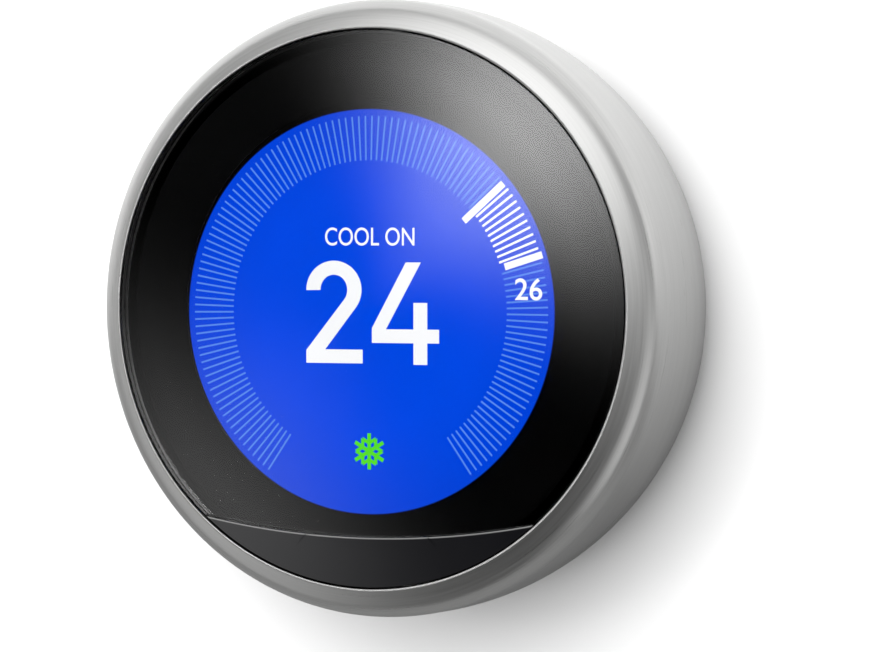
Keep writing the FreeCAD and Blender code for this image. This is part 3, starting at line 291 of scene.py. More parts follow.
# ---- Level and clips ------------------------------------------------------------------------
# A clear acrylic vial of yellow-green spirit with one bubble shows when the plate hangs level.
# Two clips of bent spring steel, heat-staked by the rim, grip the head's skirt.

CLEAR = (1.0, 1.0, 1.0)
ACRYLIC_IOR = 1.49
SPIRIT_IOR = 1.36


def clear_finish(name, colour, ior, roughness, haze=0.0006):
    """Clear plastic, glass or liquid with the faint unevenness of a real surface."""
    material, tree, shader, place = new_material(name)
    shader.inputs["Transmission Weight"].default_value = 1
    shader.inputs["IOR"].default_value = ior
    slow = noise(tree, place, haze * 20)
    tint = blended(tree, spread(tree, slow, 0, 1), [part * 0.97 for part in colour], colour)
    tree.links.new(tint, shader.inputs["Base Color"])
    smear = noise(tree, place, haze)
    tree.links.new(spread(tree, smear, roughness, roughness * 2), shader.inputs["Roughness"])
    return material


vial_acrylic = clear_finish("vial_acrylic", (0.96, 0.98, 0.97), ACRYLIC_IOR, 0.02)
spirit = clear_finish("yellow_green_spirit", (0.62, 0.86, 0.10), SPIRIT_IOR, 0.005)
dress(vial_acrylic, "level_vial")
dress(spirit, "level_fluid")
dress(spring_steel, "retaining_clips")

# ---- Back cover of the head -----------------------------------------------------------------
# Black moulded cup with a skirt that goes over the wall plate's rim and snaps on its clips.
# Polycarbonate blend with a fine matt texture; the main board is screwed to its posts.

cover_plastic = grained("cover_plastic", (0.022, 0.022, 0.023), 0.5, 0.0004, 0.8)
dress(cover_plastic, "head_back_cover")

# ---- Main board and what is soldered on it ---------------------------------------------------
# Six-layer board with its processor and radio under pressed tin shields, chips of black epoxy,
# polymer capacitors, a sounder, a ring sensor, ribbon sockets and a stamped antenna.

dress(board_finish, "main_board")
tin = grained("shield_tin", (0.62, 0.62, 0.60), 0.34, 0.0005, 0.9, 0.00001, 1.0, (8, 1, 1))
epoxy = grained("chip_epoxy", (0.03, 0.03, 0.032), 0.55, 0.0002)
capacitor_metal = grained("capacitor_cans", (0.70, 0.69, 0.66), 0.3, 0.0003, 0.9, 0.000006, 1.0)
cream_nylon = grained("cream_nylon", (0.74, 0.71, 0.62), 0.45, 0.0003)
for shield in ("processor_shield", "radio_shield"):
    softened(shield, "head", tin, "shield_tin", 0.2 * MM)
dress(tin, "service_port")
dress(epoxy, "board_chips", "press_switch", "sounder")
softened("ring_sensor", "head", epoxy, "component_black", 0.15 * MM)
dress(capacitor_metal, "board_capacitors")
softened("board_connectors", "head", cream_nylon, "connector_white", 0.12 * MM)
dress(spring_steel, "radio_antenna")
softened("head_plug", "head", black_nylon, "connector_black", 0.12 * MM)
dress(gilt, "head_plug_pins")

# ---- Battery --------------------------------------------------------------------------------
# Flat lithium cell in a crimped pouch of aluminium foil, stuck to the board with soft tape.
# The foil is slightly wrinkled and the pouch's edges are round.


FOIL_DARK = (0.58, 0.59, 0.60)
FOIL_LIGHT = (0.74, 0.75, 0.76)


def pouch_foil():
    """Bright foil, wrinkled at two scales."""
    material, tree, shader, place = new_material("pouch_foil")
    wrinkles = noise(tree, place, 0.004, 2)
    tree.links.new(blended(tree, wrinkles, FOIL_DARK, FOIL_LIGHT), shader.inputs["Base Color"])
    tree.links.new(spread(tree, noise(tree, place, 0.0008), 0.24, 0.42), shader.inputs["Roughness"])
    shader.inputs["Metallic"].default_value = 1
    relief(tree, shader, wrinkles, 0.0003)
    return material


softened("battery", "head", pouch_foil(), "battery_foil", 1.2 * MM)

# ---- Press action ---------------------------------------------------------------------------
# The face slides on three turned steel pins against coil springs, and its plunger clicks the
# snap dome of a switch in the middle of the board. Screws are small cross-head zinc ones.

pin_steel = grained("pin_steel", (0.60, 0.60, 0.59), 0.24, 0.0002, 0.88, 0.000003, 1.0)
dress(pin_steel, "guide_pins", "board_screws", "keeper_screws")
dress(spring_steel, "press_springs", "switch_dome")
dress(cover_plastic, "press_plunger")

# ---- Display ribbon -------------------------------------------------------------------------
# Flat film cable of amber polyimide with copper conductors laminated in it, between the main
# board and the display. It passes through a slot in the face plate.

RIBBON_AMBER = (0.42, 0.17, 0.03)
RIBBON_COPPER = (0.62, 0.33, 0.12)
CONDUCTOR_PITCH = 0.0005


def ribbon_film():
    """Amber film with evenly spaced conductors along it."""
    material, tree, shader, place = new_material("amber_ribbon")
    wrap = maths(tree, "PINGPONG", separated(tree, place)["X"], CONDUCTOR_PITCH / 2)
    line = spread(tree, wrap, 1, 0, CONDUCTOR_PITCH * 0.2, CONDUCTOR_PITCH * 0.24)
    tree.links.new(blended(tree, line, RIBBON_AMBER, RIBBON_COPPER), shader.inputs["Base Color"])
    tree.links.new(spread(tree, noise(tree, place, 0.001), 0.25, 0.4), shader.inputs["Roughness"])
    relief(tree, shader, line, 0.00002)
    return material


dress(ribbon_film(), "display_cable")

# ---- Face frame -----------------------------------------------------------------------------
# Black glass-filled moulding that carries the lens and the display, and whose neck the ring
# turns on. A screwed-on keeper traps the ring, and adhesive tape holds the lens to its rim.

frame_plastic = grained("frame_plastic", (0.018, 0.018, 0.019), 0.46, 0.0004, 0.8)
tape_foam = grained("black_foam_tape", (0.012, 0.012, 0.012), 0.8, 0.0003)
dress(frame_plastic, "face_frame", "ring_keeper")
dress(tape_foam, "lens_tape")

# ---- Ring carrier ---------------------------------------------------------------------------
# Black acetal hoop moulded into the ring, with a printed band of fine bars that the board's
# sensor reads, and two slippery PTFE washers on its flange.

BARS_ROUND = 240
BAND_BLACK = (0.02, 0.02, 0.02)
BAR_GREY = (0.55, 0.55, 0.56)


def bar_band():
    """Printed bars of black and silver-grey round the band."""
    material, tree, shader, place = new_material("bar_band")
    split = separated(tree, place)
    angle = maths(tree, "ARCTAN2", split["Z"], split["X"])
    half_bar = math.pi / BARS_ROUND
    wrap = maths(tree, "PINGPONG", angle, half_bar)
    bar = spread(tree, wrap, 0, 1, half_bar * 0.45, half_bar * 0.55)
    tree.links.new(blended(tree, bar, BAND_BLACK, BAR_GREY), shader.inputs["Base Color"])
    tree.links.new(spread(tree, noise(tree, place, 0.0006), 0.3, 0.45), shader.inputs["Roughness"])
    return material


acetal = grained("black_acetal", (0.02, 0.02, 0.02), 0.36, 0.0004)
ptfe = grained("white_ptfe", (0.75, 0.75, 0.73), 0.35, 0.0004)
dress(acetal, "ring_carrier")
dress(bar_band(), "ring_code_band")
dress(ptfe, "ring_glides")

# ---- Sensors behind the window --------------------------------------------------------------
# A small curved board under the lens's foot carries the motion sensor in its gold-flashed can,
# the moulded milky lens over it, and the light and distance sensors.

sensor_can = grained("sensor_can", (0.66, 0.60, 0.44), 0.3, 0.0003, 0.85, 0.000005, 1.0)
milky = grained("milky_polyethylene", (0.70, 0.71, 0.70), 0.45, 0.0005)
dress(board_finish, "sensor_board")
dress(sensor_can, "motion_sensor")
milky_low, milky_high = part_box("motion_lens")
MILKY_SETBACK = 0.08 * MM
MILKY_RIDGES = 3
RIDGE_WIDTH = 0.45 * MM
RIDGE_SLOPE = 0.1 * MM
RIDGE_DEPTH = 0.12 * MM
milky_front = milky_low.y + MILKY_SETBACK
deselect()
bpy.ops.mesh.primitive_cube_add(
    size=1,
    location=(0, (milky_front + milky_high.y) / 2, (milky_low.z + milky_high.z) / 2),
    scale=(milky_high.x - milky_low.x, milky_high.y - milky_front, milky_high.z - milky_low.z),
)
milky_lens = bpy.context.active_object
milky_lens.name = "motion_lens_moulded"
bpy.ops.object.transform_apply(location=True, rotation=True, scale=True)
edit(milky_lens)
bpy.ops.object.mode_set(mode="OBJECT")
for face in milky_lens.data.polygons:
    face.select = face.normal.y < -0.9
bpy.ops.object.mode_set(mode="EDIT")
for ridge in range(MILKY_RIDGES):
    bpy.ops.mesh.inset(thickness=RIDGE_WIDTH, depth=0)
    bpy.ops.mesh.inset(thickness=RIDGE_SLOPE, depth=-RIDGE_DEPTH)
bpy.ops.object.mode_set(mode="OBJECT")
smoothed(milky_lens)
finish(milky_lens, milky, "face", "milky_lens", "motion_lens")
dress(epoxy, "window_sensors")

# ---- Turned ring ----------------------------------------------------------------------------
# Stainless steel ring, turned and then brushed round and round: a thin lip by the lens, a
# sloping bevel, a soft shoulder and a side that draws in to the wall. It turns as the dial.

RING_STEPS = 256
SHOULDER_STEPS = 14
REAR_STEPS = 20
TURNED_EDGE = 0.08 * MM
ring_low, ring_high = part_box("outer_ring")
glass_low, glass_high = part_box("front_glass")
carrier_low, carrier_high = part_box("ring_carrier")
ring_radius = ring_high.x
ring_front = ring_low.y
ring_rear = ring_high.y
lens_radius = glass_high.x
LIP_RADIUS = lens_radius + 0.25 * MM
LIP_LAND = 0.3 * MM
BEVEL_RADIUS = 39.84 * MM
BEVEL_DEPTH = 1.0 * MM
SHOULDER_ARC = 4.6 * MM
SHOULDER_REAR = ring_front + 4.9 * MM
SIDE_REAR = SHOULDER_REAR + 4.2 * MM
REAR_ARC = 48 * MM
REAR_RADIUS = 39.03 * MM
REAR_BORE = 37.98 * MM
REAR_LAND = 2.0 * MM
RELIEF_WALL = 1.8 * MM
BORE = carrier_high.x
LENS_CROWN = 0.8 * MM
LIP_DEPTH = 1.4 * MM
LIP_REAR = glass_low.y + LENS_CROWN + LIP_DEPTH
FRONT_RELIEF = 0.5 * MM
LIP_UNDERCUT = 2.4 * MM


def arc_points(start, end, radius, steps, swells_out=True):
    """Points on an arc from start to end in the (radius, depth) plane, both ends left out."""
    ax, ay = start
    bx, by = end
    half = math.hypot(bx - ax, by - ay) / 2
    rise = math.sqrt(radius * radius - half * half)
    if not swells_out:
        rise = -rise
    cx = (ax + bx) / 2 - (by - ay) / (2 * half) * rise
    cy = (ay + by) / 2 + (bx - ax) / (2 * half) * rise
    first = math.atan2(ay - cy, ax - cx)
    sweep = math.atan2(by - cy, bx - cx) - first
    sweep = (sweep + math.pi) % (2 * math.pi) - math.pi
    places = []
    for step in range(1, steps):
        angle = first + sweep * step / steps
        places.append((cx + radius * math.cos(angle), cy + radius * math.sin(angle)))
    return places


def traced(name, points):
    """A closed outline in edit mode: one vertex extruded from point to point."""
    deselect()
    bpy.ops.mesh.primitive_plane_add(size=MM, location=(0, 0, 0))
    piece = bpy.context.active_object
    piece.name = name
    piece.data.name = name
    bpy.ops.object.mode_set(mode="EDIT")
    bpy.ops.mesh.select_all(action="SELECT")
    bpy.ops.mesh.merge(type="CENTER")
    last = Vector(points[0])
    bpy.ops.transform.translate(value=last)
    for point in points[1:] + points[:1]:
        step = Vector(point) - last
        bpy.ops.mesh.extrude_region_move(TRANSFORM_OT_translate={"value": step})
        last = Vector(point)
    bpy.ops.mesh.select_all(action="SELECT")
    bpy.ops.mesh.remove_doubles(threshold=0.000001)
    return piece


def turned(name, outline, steps):
    """An outline of (radius, depth) points spun once round the object's axis."""
    piece = traced(name, [(radius, depth, 0) for radius, depth in outline])
    bpy.ops.mesh.select_all(action="SELECT")
    bpy.ops.mesh.spin(steps=steps, angle=2 * math.pi, center=(0, 0, 0), axis=(0, 1, 0))
    bpy.ops.mesh.select_all(action="SELECT")
    bpy.ops.mesh.remove_doubles(threshold=0.000002)
    bpy.ops.mesh.normals_make_consistent(inside=False)
    bpy.ops.object.mode_set(mode="OBJECT")
    return piece


def measured(tree, operation, first, second=None):
    """A number from one or two vectors, such as a length, a distance or a dot product."""
    node = tree.nodes.new("ShaderNodeVectorMath")
    node.operation = operation
    tree.links.new(first, node.inputs[0])
    if second is not None:
        node.inputs[1].default_value = second
    return node.outputs["Value"]


def combined(tree, *parts):
    """A vector from three parts, each a socket or a number."""
    node = tree.nodes.new("ShaderNodeCombineXYZ")
    for socket, value in zip(node.inputs, parts):
        if isinstance(value, bpy.types.NodeSocket):
            tree.links.new(value, socket)
        else:
            socket.default_value = value
    return node.outputs["Vector"]


STREAK_WIDTH = 0.00022
STREAK_ANGLE = 0.35
BAND_WIDTH = 12
STEEL_DARK = (0.44, 0.44, 0.435)
STEEL_LIGHT = (0.50, 0.50, 0.495)
STEEL_GLOSS = (0.28, 0.37)
BAND_GLOSS = (-0.03, 0.03)
BRUSHING = 0.7


def brushed_steel():
    """Steel brushed round the axis: hair-fine streaks that follow the turning."""
    material, tree, shader, place = new_material("brushed_steel")
    split = separated(tree, place)
    angle = maths(tree, "ARCTAN2", split["Z"], split["X"])
    reach = measured(tree, "LENGTH", combined(tree, split["X"], 0, split["Z"]))
    along = maths(tree, "MULTIPLY", angle, STREAK_WIDTH / STREAK_ANGLE)
    round_axis = combined(tree, reach, split["Y"], along)
    streaks = noise(tree, round_axis, STREAK_WIDTH, 5)
    bands = noise(tree, round_axis, STREAK_WIDTH * BAND_WIDTH, 2)
    tint = blended(tree, spread(tree, streaks, 0, 1), STEEL_DARK, STEEL_LIGHT)
    tree.links.new(tint, shader.inputs["Base Color"])
    fine = spread(tree, streaks, *STEEL_GLOSS)
    gloss = maths(tree, "ADD", fine, spread(tree, bands, *BAND_GLOSS))
    tree.links.new(gloss, shader.inputs["Roughness"])
    shader.inputs["Metallic"].default_value = 1
    shader.inputs["Anisotropic"].default_value = BRUSHING
    tangent = tree.nodes.new("ShaderNodeTangent")
    tangent.direction_type = "RADIAL"
    tangent.axis = "Y"
    tree.links.new(tangent.outputs["Tangent"], shader.inputs["Tangent"])
    relief(tree, shader, streaks, 0.000004)
    return material


RELIEF_LEAN = 0.42
relief_rear = ring_rear - REAR_LAND
relief_middle = (relief_rear + carrier_high.y) / 2
relief_radius = ring_radius - RELIEF_WALL - (ring_radius - REAR_RADIUS) * RELIEF_LEAN
bevel_end = (BEVEL_RADIUS, ring_front + BEVEL_DEPTH)
side_start = (ring_radius, SHOULDER_REAR)
side_end = (ring_radius, SIDE_REAR)
rear_edge = (REAR_RADIUS, ring_rear)
ring_outline = [(LIP_RADIUS, ring_front), (LIP_RADIUS + LIP_LAND, ring_front), bevel_end]
ring_outline += arc_points(bevel_end, side_start, SHOULDER_ARC, SHOULDER_STEPS)
ring_outline += [side_start, side_end]
ring_outline += arc_points(side_end, rear_edge, REAR_ARC, REAR_STEPS)
ring_outline += [
    rear_edge,
    (REAR_BORE, ring_rear),
    (REAR_BORE, relief_rear),
    (relief_radius, relief_middle),
    (relief_radius, carrier_high.y),
    (BORE, carrier_high.y),
    (BORE, carrier_low.y),
    (BORE + FRONT_RELIEF, carrier_low.y),
    (BORE + FRONT_RELIEF, LIP_REAR + LIP_UNDERCUT),
    (LIP_RADIUS, LIP_REAR),
]
ring = turned("dial_ring", ring_outline, RING_STEPS)
rounding = ring.modifiers.new("turned_edges", "BEVEL")
rounding.width = TURNED_EDGE
rounding.segments = 2
rounding.limit_method = "ANGLE"
rounding.angle_limit = math.radians(24)
apply_all(ring)
smoothed(ring, 25)
finish(ring, brushed_steel(), "ring", "brushed_steel", "outer_ring")

# ---- Display --------------------------------------------------------------------------------
# Round colour panel in a thin metal bezel over its backlight, glued to the lens with clear
# adhesive. It is lit deep blue, with a dial of fine ticks, the temperature and a mode sign.

panel_low, panel_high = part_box("display_panel")
panel_radius = panel_high.x
panel_front = panel_low.y
PICTURE_RADIUS = 27.4 * MM
PICTURE_X = -0.6 * MM
PICTURE_Z = -0.4 * MM
BLUE = (0.0, 0.069, 0.87)
BLUE_EDGE = (0.0, 0.06, 0.78)
PANEL_BLACK = (0.004, 0.004, 0.005)
DOT_SIZE = 0.00009
GRAIN_SHARE = 0.06


def lit_panel():
    """Black panel with a lit blue disc, evenly bright but for the faint grain of its dots."""
    material, tree, shader, place = new_material("lit_panel")
    centre = tree.nodes.new("ShaderNodeMapping")
    centre.inputs["Location"].default_value = (-PICTURE_X, 0, -PICTURE_Z)
    centre.inputs["Scale"].default_value = (1, 0, 1)
    tree.links.new(place, centre.inputs["Vector"])
    reach = measured(tree, "LENGTH", centre.outputs["Vector"])
    inside = spread(tree, reach, 1, 0, PICTURE_RADIUS - DOT_SIZE, PICTURE_RADIUS + DOT_SIZE)
    fade = spread(tree, reach, 0, 1, PICTURE_RADIUS * 0.6, PICTURE_RADIUS)
    grain = spread(tree, noise(tree, place, DOT_SIZE, 1), 0, GRAIN_SHARE)
    glow = blended(tree, maths(tree, "ADD", fade, grain), BLUE, BLUE_EDGE)
    lit = blended(tree, inside, (0, 0, 0), glow)
    tree.links.new(lit, shader.inputs["Emission Color"])
    shader.inputs["Emission Strength"].default_value = 1
    shader.inputs["Base Color"].default_value = (*PANEL_BLACK, 1)
    shader.inputs["Specular IOR Level"].default_value = 0
    tree.links.new(spread(tree, grain, 0.5, 0.6, 0, GRAIN_SHARE), shader.inputs["Roughness"])
    return material


def lit_ink(name, colour, strength=1.0):
    """Lit dots of one colour, with the panel's faint grain."""
    material, tree, shader, place = new_material(name)
    grain = noise(tree, place, DOT_SIZE, 1)
    glow = blended(tree, grain, [part * 0.97 for part in colour], colour)
    tree.links.new(glow, shader.inputs["Emission Color"])
    shader.inputs["Emission Strength"].default_value = strength
    shader.inputs["Base Color"].default_value = (*PANEL_BLACK, 1)
    shader.inputs["Specular IOR Level"].default_value = 0
    return material


backlight_film = grained("backlight_film", (0.80, 0.80, 0.78), 0.4, 0.0005)
bezel_metal = grained("bezel_metal", (0.10, 0.10, 0.105), 0.4, 0.0003, 0.85, 0.000005, 0.6)
dress(backlight_film, "display_backlight")
dress(bezel_metal, "display_bezel")
PANEL_EDGE = 0.15 * MM
PANEL_STEPS = 160
panel = turned(
    "display_panel_lit",
    [
        (0, panel_high.y),
        (panel_radius, panel_high.y),
        (panel_radius, panel_front + PANEL_EDGE),
        (panel_radius - PANEL_EDGE, panel_front),
        (0, panel_front),
    ],
    PANEL_STEPS,
)
smoothed(panel)
finish(panel, lit_panel(), "face", "display_glass", "display_panel")

INK_LIFT = 0.02 * MM
ink_rear = panel_front - INK_LIFT
tick_ink = lit_ink("tick_ink", (0.10, 0.27, 0.92))
white_ink = lit_ink("white_ink", (0.97, 0.98, 1.0), 1.12)
green_ink = lit_ink("green_ink", (0.10, 0.80, 0.02))


def thickened(piece):
    """Gives flat ink its film thickness, and leaves edit mode."""
    bpy.ops.mesh.select_all(action="SELECT")
    bpy.ops.mesh.extrude_region_move(TRANSFORM_OT_translate={"value": (0, -INK_LIFT, 0)})
    bpy.ops.mesh.select_all(action="SELECT")
    bpy.ops.mesh.normals_make_consistent(inside=False)
    bpy.ops.object.mode_set(mode="OBJECT")


def picture(x, z):
    """A place in the picture, in millimetres from its middle, in the frame."""
    return (PICTURE_X + x * MM, ink_rear, PICTURE_Z + z * MM)


def bars(name, first, step, count, inner, outer, width):
    """A bar modelled once at the first angle, then spun into copies every step degrees."""
    deselect()
    bpy.ops.mesh.primitive_plane_add(size=1, location=(0, 0, 0))
    piece = bpy.context.active_object
    piece.name = name
    piece.data.name = name
    bpy.ops.object.mode_set(mode="EDIT")
    bpy.ops.mesh.select_all(action="SELECT")
    bpy.ops.transform.resize(value=((outer - inner) * MM, width * MM, 1))
    bpy.ops.transform.translate(value=((outer + inner) / 2 * MM, 0, 0))
    middle = picture(0, 0)
    bpy.ops.object.mode_set(mode="OBJECT")
    piece.rotation_euler = (math.pi / 2, -math.radians(first), 0)
    piece.location = middle
    bpy.ops.object.transform_apply(location=True, rotation=True, scale=True)
    bpy.ops.object.mode_set(mode="EDIT")
    if count > 1:
        bpy.ops.mesh.select_all(action="SELECT")
        bpy.ops.mesh.spin(
            steps=count - 1,
            dupli=True,
            angle=math.radians(step * (count - 1)),
            center=middle,
            axis=(0, 1, 0),
        )
    thickened(piece)
    return piece


def glyph(name, outline, x, z, copies):
    """Flat sign inside an outline of (x, z) points in millimetres, repeated round (x, z)."""
    points = [picture(x + px, z + pz) for px, pz in outline]
    piece = traced(name, points)
    bpy.ops.mesh.select_all(action="SELECT")
    bpy.ops.mesh.fill(use_beauty=True)
    if copies > 1:
        bpy.ops.mesh.select_all(action="SELECT")
        bpy.ops.mesh.spin(
            steps=copies,
            dupli=True,
            use_auto_merge=False,
            angle=2 * math.pi,
            center=picture(x, z),
            axis=(0, 1, 0),
        )
        bpy.ops.mesh.select_all(action="SELECT")
        bpy.ops.mesh.remove_doubles(threshold=0.000005)
    thickened(piece)
    return piece


def word(name, text, x, z, height, width, heaviness):
    """Text as a mesh, stood upright in the picture: its left foot at (x, z)."""
    deselect()
    bpy.ops.object.text_add(location=(0, 0, 0))
    piece = bpy.context.active_object
    piece.name = name
    piece.data.body = text
    piece.data.size = 1
    piece.data.offset = heaviness
    bpy.ops.object.convert(target="MESH")
    piece = bpy.context.active_object
    low = [min(v.co[axis] for v in piece.data.vertices) for axis in (0, 1)]
    high = [max(v.co[axis] for v in piece.data.vertices) for axis in (0, 1)]
    bpy.ops.object.mode_set(mode="EDIT")
    bpy.ops.mesh.select_all(action="SELECT")
    bpy.ops.mesh.remove_doubles(threshold=0.0001)
    bpy.ops.transform.translate(value=(-low[0], -low[1], 0))
    bpy.ops.object.mode_set(mode="OBJECT")
    piece.rotation_euler = (math.pi / 2, 0, 0)
    piece.scale = (width * MM / (high[0] - low[0]), height * MM / (high[1] - low[1]), 1)
    piece.location = Vector(picture(x, z)) - Vector((0, INK_LIFT, 0))
    bpy.ops.object.transform_apply(location=True, rotation=True, scale=True)
    bpy.ops.object.mode_set(mode="EDIT")
    thickened(piece)
    return piece


TICK_FIRST = -55
TICK_STEP = 2.18
TICKS_BELOW = 33
TICKS_BETWEEN = 10
TICKS_ABOVE = 89
TICK_INNER = 20.5
TICK_OUTER = 26.5
TICK_WIDTH = 0.24
BRIGHT_WIDTH = 0.3
MARK_WIDTH = 0.95
SET_INNER = 18.75
SET_OUTER = 26.4
NOW_INNER = 21.1
NOW_OUTER = 26.8
now_angle = TICK_FIRST + TICKS_BELOW * TICK_STEP
set_angle = now_angle + (TICKS_BETWEEN + 1) * TICK_STEP
for place, first, count, width, ink in (
    ("below", TICK_FIRST, TICKS_BELOW, TICK_WIDTH, tick_ink),
    ("above", set_angle + TICK_STEP, TICKS_ABOVE, TICK_WIDTH, tick_ink),
    ("between", now_angle + TICK_STEP, TICKS_BETWEEN, BRIGHT_WIDTH, white_ink),
):
    ticks = bars("dial_ticks_" + place, first, TICK_STEP, count, TICK_INNER, TICK_OUTER, width)
    finish(ticks, ink, "face", "display_glass")
set_mark = bars("dial_set_mark", set_angle, 0, 1, SET_INNER, SET_OUTER, MARK_WIDTH)
finish(set_mark, white_ink, "face", "display_glass")
now_mark = bars("dial_now_mark", now_angle, 0, 1, NOW_INNER, NOW_OUTER, MARK_WIDTH)
finish(now_mark, white_ink, "face", "display_glass")


def bowl(x, z, across, up, first, last, steps):
    """Points on an oval round (x, z), from the first angle to the last, in degrees."""
    places = []
    for step in range(steps + 1):
        angle = math.radians(first + (last - first) * step / steps)
        places.append((x + across * math.cos(angle), z + up * math.sin(angle)))
    return places


BOWL_X = 4.17
BOWL_Z = 9.95
BOWL_OUTER = (4.17, 3.95)
BOWL_INNER = (2.03, 2.05)
BOWL_FOOT = -38
BOWL_END = 181
two_outline = [(0, 0), (8.5, 0), (8.5, 1.86), (2.86, 1.86)]
two_outline += bowl(BOWL_X, BOWL_Z, *BOWL_OUTER, BOWL_FOOT, BOWL_END, 28)
two_outline += bowl(BOWL_X, BOWL_Z, *BOWL_INNER, BOWL_END, BOWL_FOOT, 20)
two_outline += [(0, 1.74)]
four_outline = [
    (9.9, 2.8),
    (16.1, 2.8),
    (16.1, -0.1),
    (18.15, -0.1),
    (18.15, 2.8),
    (19.9, 2.8),
    (19.9, 4.66),
    (18.15, 4.66),
    (18.15, 8.25),
    (16.1, 8.25),
    (16.1, 4.66),
    (12.0, 4.66),
    (17.2, 13.7),
    (14.95, 13.7),
    (9.9, 4.8),
]
DIGITS_X = -9.35
DIGITS_Z = -7.0
TARGET_PLACE = (21.7, 1.7)
TARGET_SIZE = (2.95, 3.95)
TARGET_WEIGHT = 0.008
MODE_PLACE = (-6.5, 8.95)
MODE_SIZE = (2.45, 13.4)
MODE_WEIGHT = 0.004
SIGN_PLACE = (0.1, -18.9)
SIGN_ARMS = 6
two = glyph("digit_2", two_outline, DIGITS_X, DIGITS_Z, 1)
finish(two, white_ink, "face", "display_glass")
four = glyph("digit_4", four_outline, DIGITS_X, DIGITS_Z, 1)
finish(four, white_ink, "face", "display_glass")
target = word("digits_26", "26", *TARGET_PLACE, *TARGET_SIZE, TARGET_WEIGHT)
finish(target, white_ink, "face", "display_glass")
mode = word("mode_word", "COOL ON", *MODE_PLACE, *MODE_SIZE, MODE_WEIGHT)
finish(mode, white_ink, "face", "display_glass")
arm = [(0.0, 0.0), (0.27, 0.46), (0.27, 1.0), (0.95, 1.4), (0.95, 1.95), (0.27, 1.55), (0.27, 2.45)]
arm += [(-x, z) for x, z in reversed(arm[1:])]
flake = glyph("mode_sign", arm, *SIGN_PLACE, SIGN_ARMS)
finish(flake, green_ink, "face", "display_glass")

# ---- Lens and sensor window -----------------------------------------------------------------
# Ground and polished glass dome, printed black round the display on its underside. Its foot is
# cut off along a shallow arc, below which a dark moulded window lets infra-red through.

LENS_STEPS = 256
DOME_STEPS = 20
EASED_EDGE = 0.1 * MM
lens_rear = glass_high.y
lens_front = glass_low.y
lens_edge = lens_front + LENS_CROWN
dome_arc = (lens_radius**2 + LENS_CROWN**2) / (2 * LENS_CROWN)
SEAM_CHORD = 28.45 * MM
seam_sag = -glass_low.z - SEAM_CHORD
seam_half = math.sqrt(lens_radius**2 - SEAM_CHORD**2)
seam_arc = (seam_half**2 + seam_sag**2) / (2 * seam_sag)
seam_middle = seam_arc + glass_low.z
SEAM_GAP = 0.14 * MM
CUTTER_STEPS = 900
CUTTER_DEPTH = 20 * MM
GLASS_IOR = 1.5


def domed_pane(name):
    """The round pane that both the lens and the window are cut from."""
    outline = [(0, lens_rear), (lens_radius, lens_rear), (lens_radius, lens_edge)]
    outline += arc_points((lens_radius, lens_edge), (0, lens_front), dome_arc, DOME_STEPS, False)
    outline += [(0, lens_front)]
    return turned(name, outline, LENS_STEPS)


def cut_at_seam(pane, drop, operation):
    """Keeps what is inside or outside the seam's big arc, lowered by drop, and eases its edges."""
    deselect()
    bpy.ops.mesh.primitive_cylinder_add(
        vertices=CUTTER_STEPS,
        radius=seam_arc,
        depth=CUTTER_DEPTH,
        location=(0, lens_front, seam_middle - drop),
        rotation=(math.pi / 2, 0, 0),
    )
    cutter = bpy.context.active_object
    cut = pane.modifiers.new("seam", "BOOLEAN")
    cut.object = cutter
    cut.operation = operation
    cut.solver = "EXACT"
    ease = pane.modifiers.new("eased_edges", "BEVEL")
    ease.width = EASED_EDGE
    ease.segments = 2
    ease.limit_method = "ANGLE"
    ease.angle_limit = math.radians(50)
    ease.use_clamp_overlap = False
    apply_all(pane)
    bpy.data.objects.remove(cutter)
    smoothed(pane, 20)
    level = pane.modifiers.new("level_shading", "WEIGHTED_NORMAL")
    level.keep_sharp = True
    level.weight = 100
    apply_all(pane)


lens_glass = clear_finish("lens_glass", CLEAR, GLASS_IOR, 0.008, 0.002)
lens = domed_pane("lens")
cut_at_seam(lens, 0, "INTERSECT")
finish(lens, lens_glass, "face", "lens_glass", "front_glass")

EDGE_LINE = 0.12 * MM
# Painted highlight: a light grey band along the seam, standing in for light caught on its edge.
SEAM_PAINTED_HIGHLIGHT = (0.16, 0.16, 0.16)
WINDOW_DARK = (0.004, 0.004, 0.005)
WINDOW_LIGHT = (0.007, 0.007, 0.008)


def window_plastic():
    """Polished dark plastic with a trace of moulding flow, and a light grey band along the seam that is
    a painted highlight.
    """
    material, tree, shader, place = new_material("window_plastic")
    slow = noise(tree, place, 0.01)
    split = separated(tree, place)
    flat = combined(tree, split["X"], 0, split["Z"])
    away = measured(tree, "DISTANCE", flat, (0, 0, seam_middle - SEAM_GAP))
    # Painted highlight band along the seam.
    edge = spread(tree, away, 1, 0, seam_arc + EDGE_LINE, seam_arc + EDGE_LINE * 2)
    plastic = blended(tree, slow, WINDOW_DARK, WINDOW_LIGHT)
    tree.links.new(blended(tree, edge, plastic, SEAM_PAINTED_HIGHLIGHT), shader.inputs["Base Color"])
    tree.links.new(spread(tree, noise(tree, place, 0.002), 0.01, 0.02), shader.inputs["Roughness"])
    shader.inputs["IOR"].default_value = GLASS_IOR
    return material


window = domed_pane("infrared_window")
cut_at_seam(window, SEAM_GAP, "DIFFERENCE")
finish(window, window_plastic(), "face", "dark_window", "sensor_window")

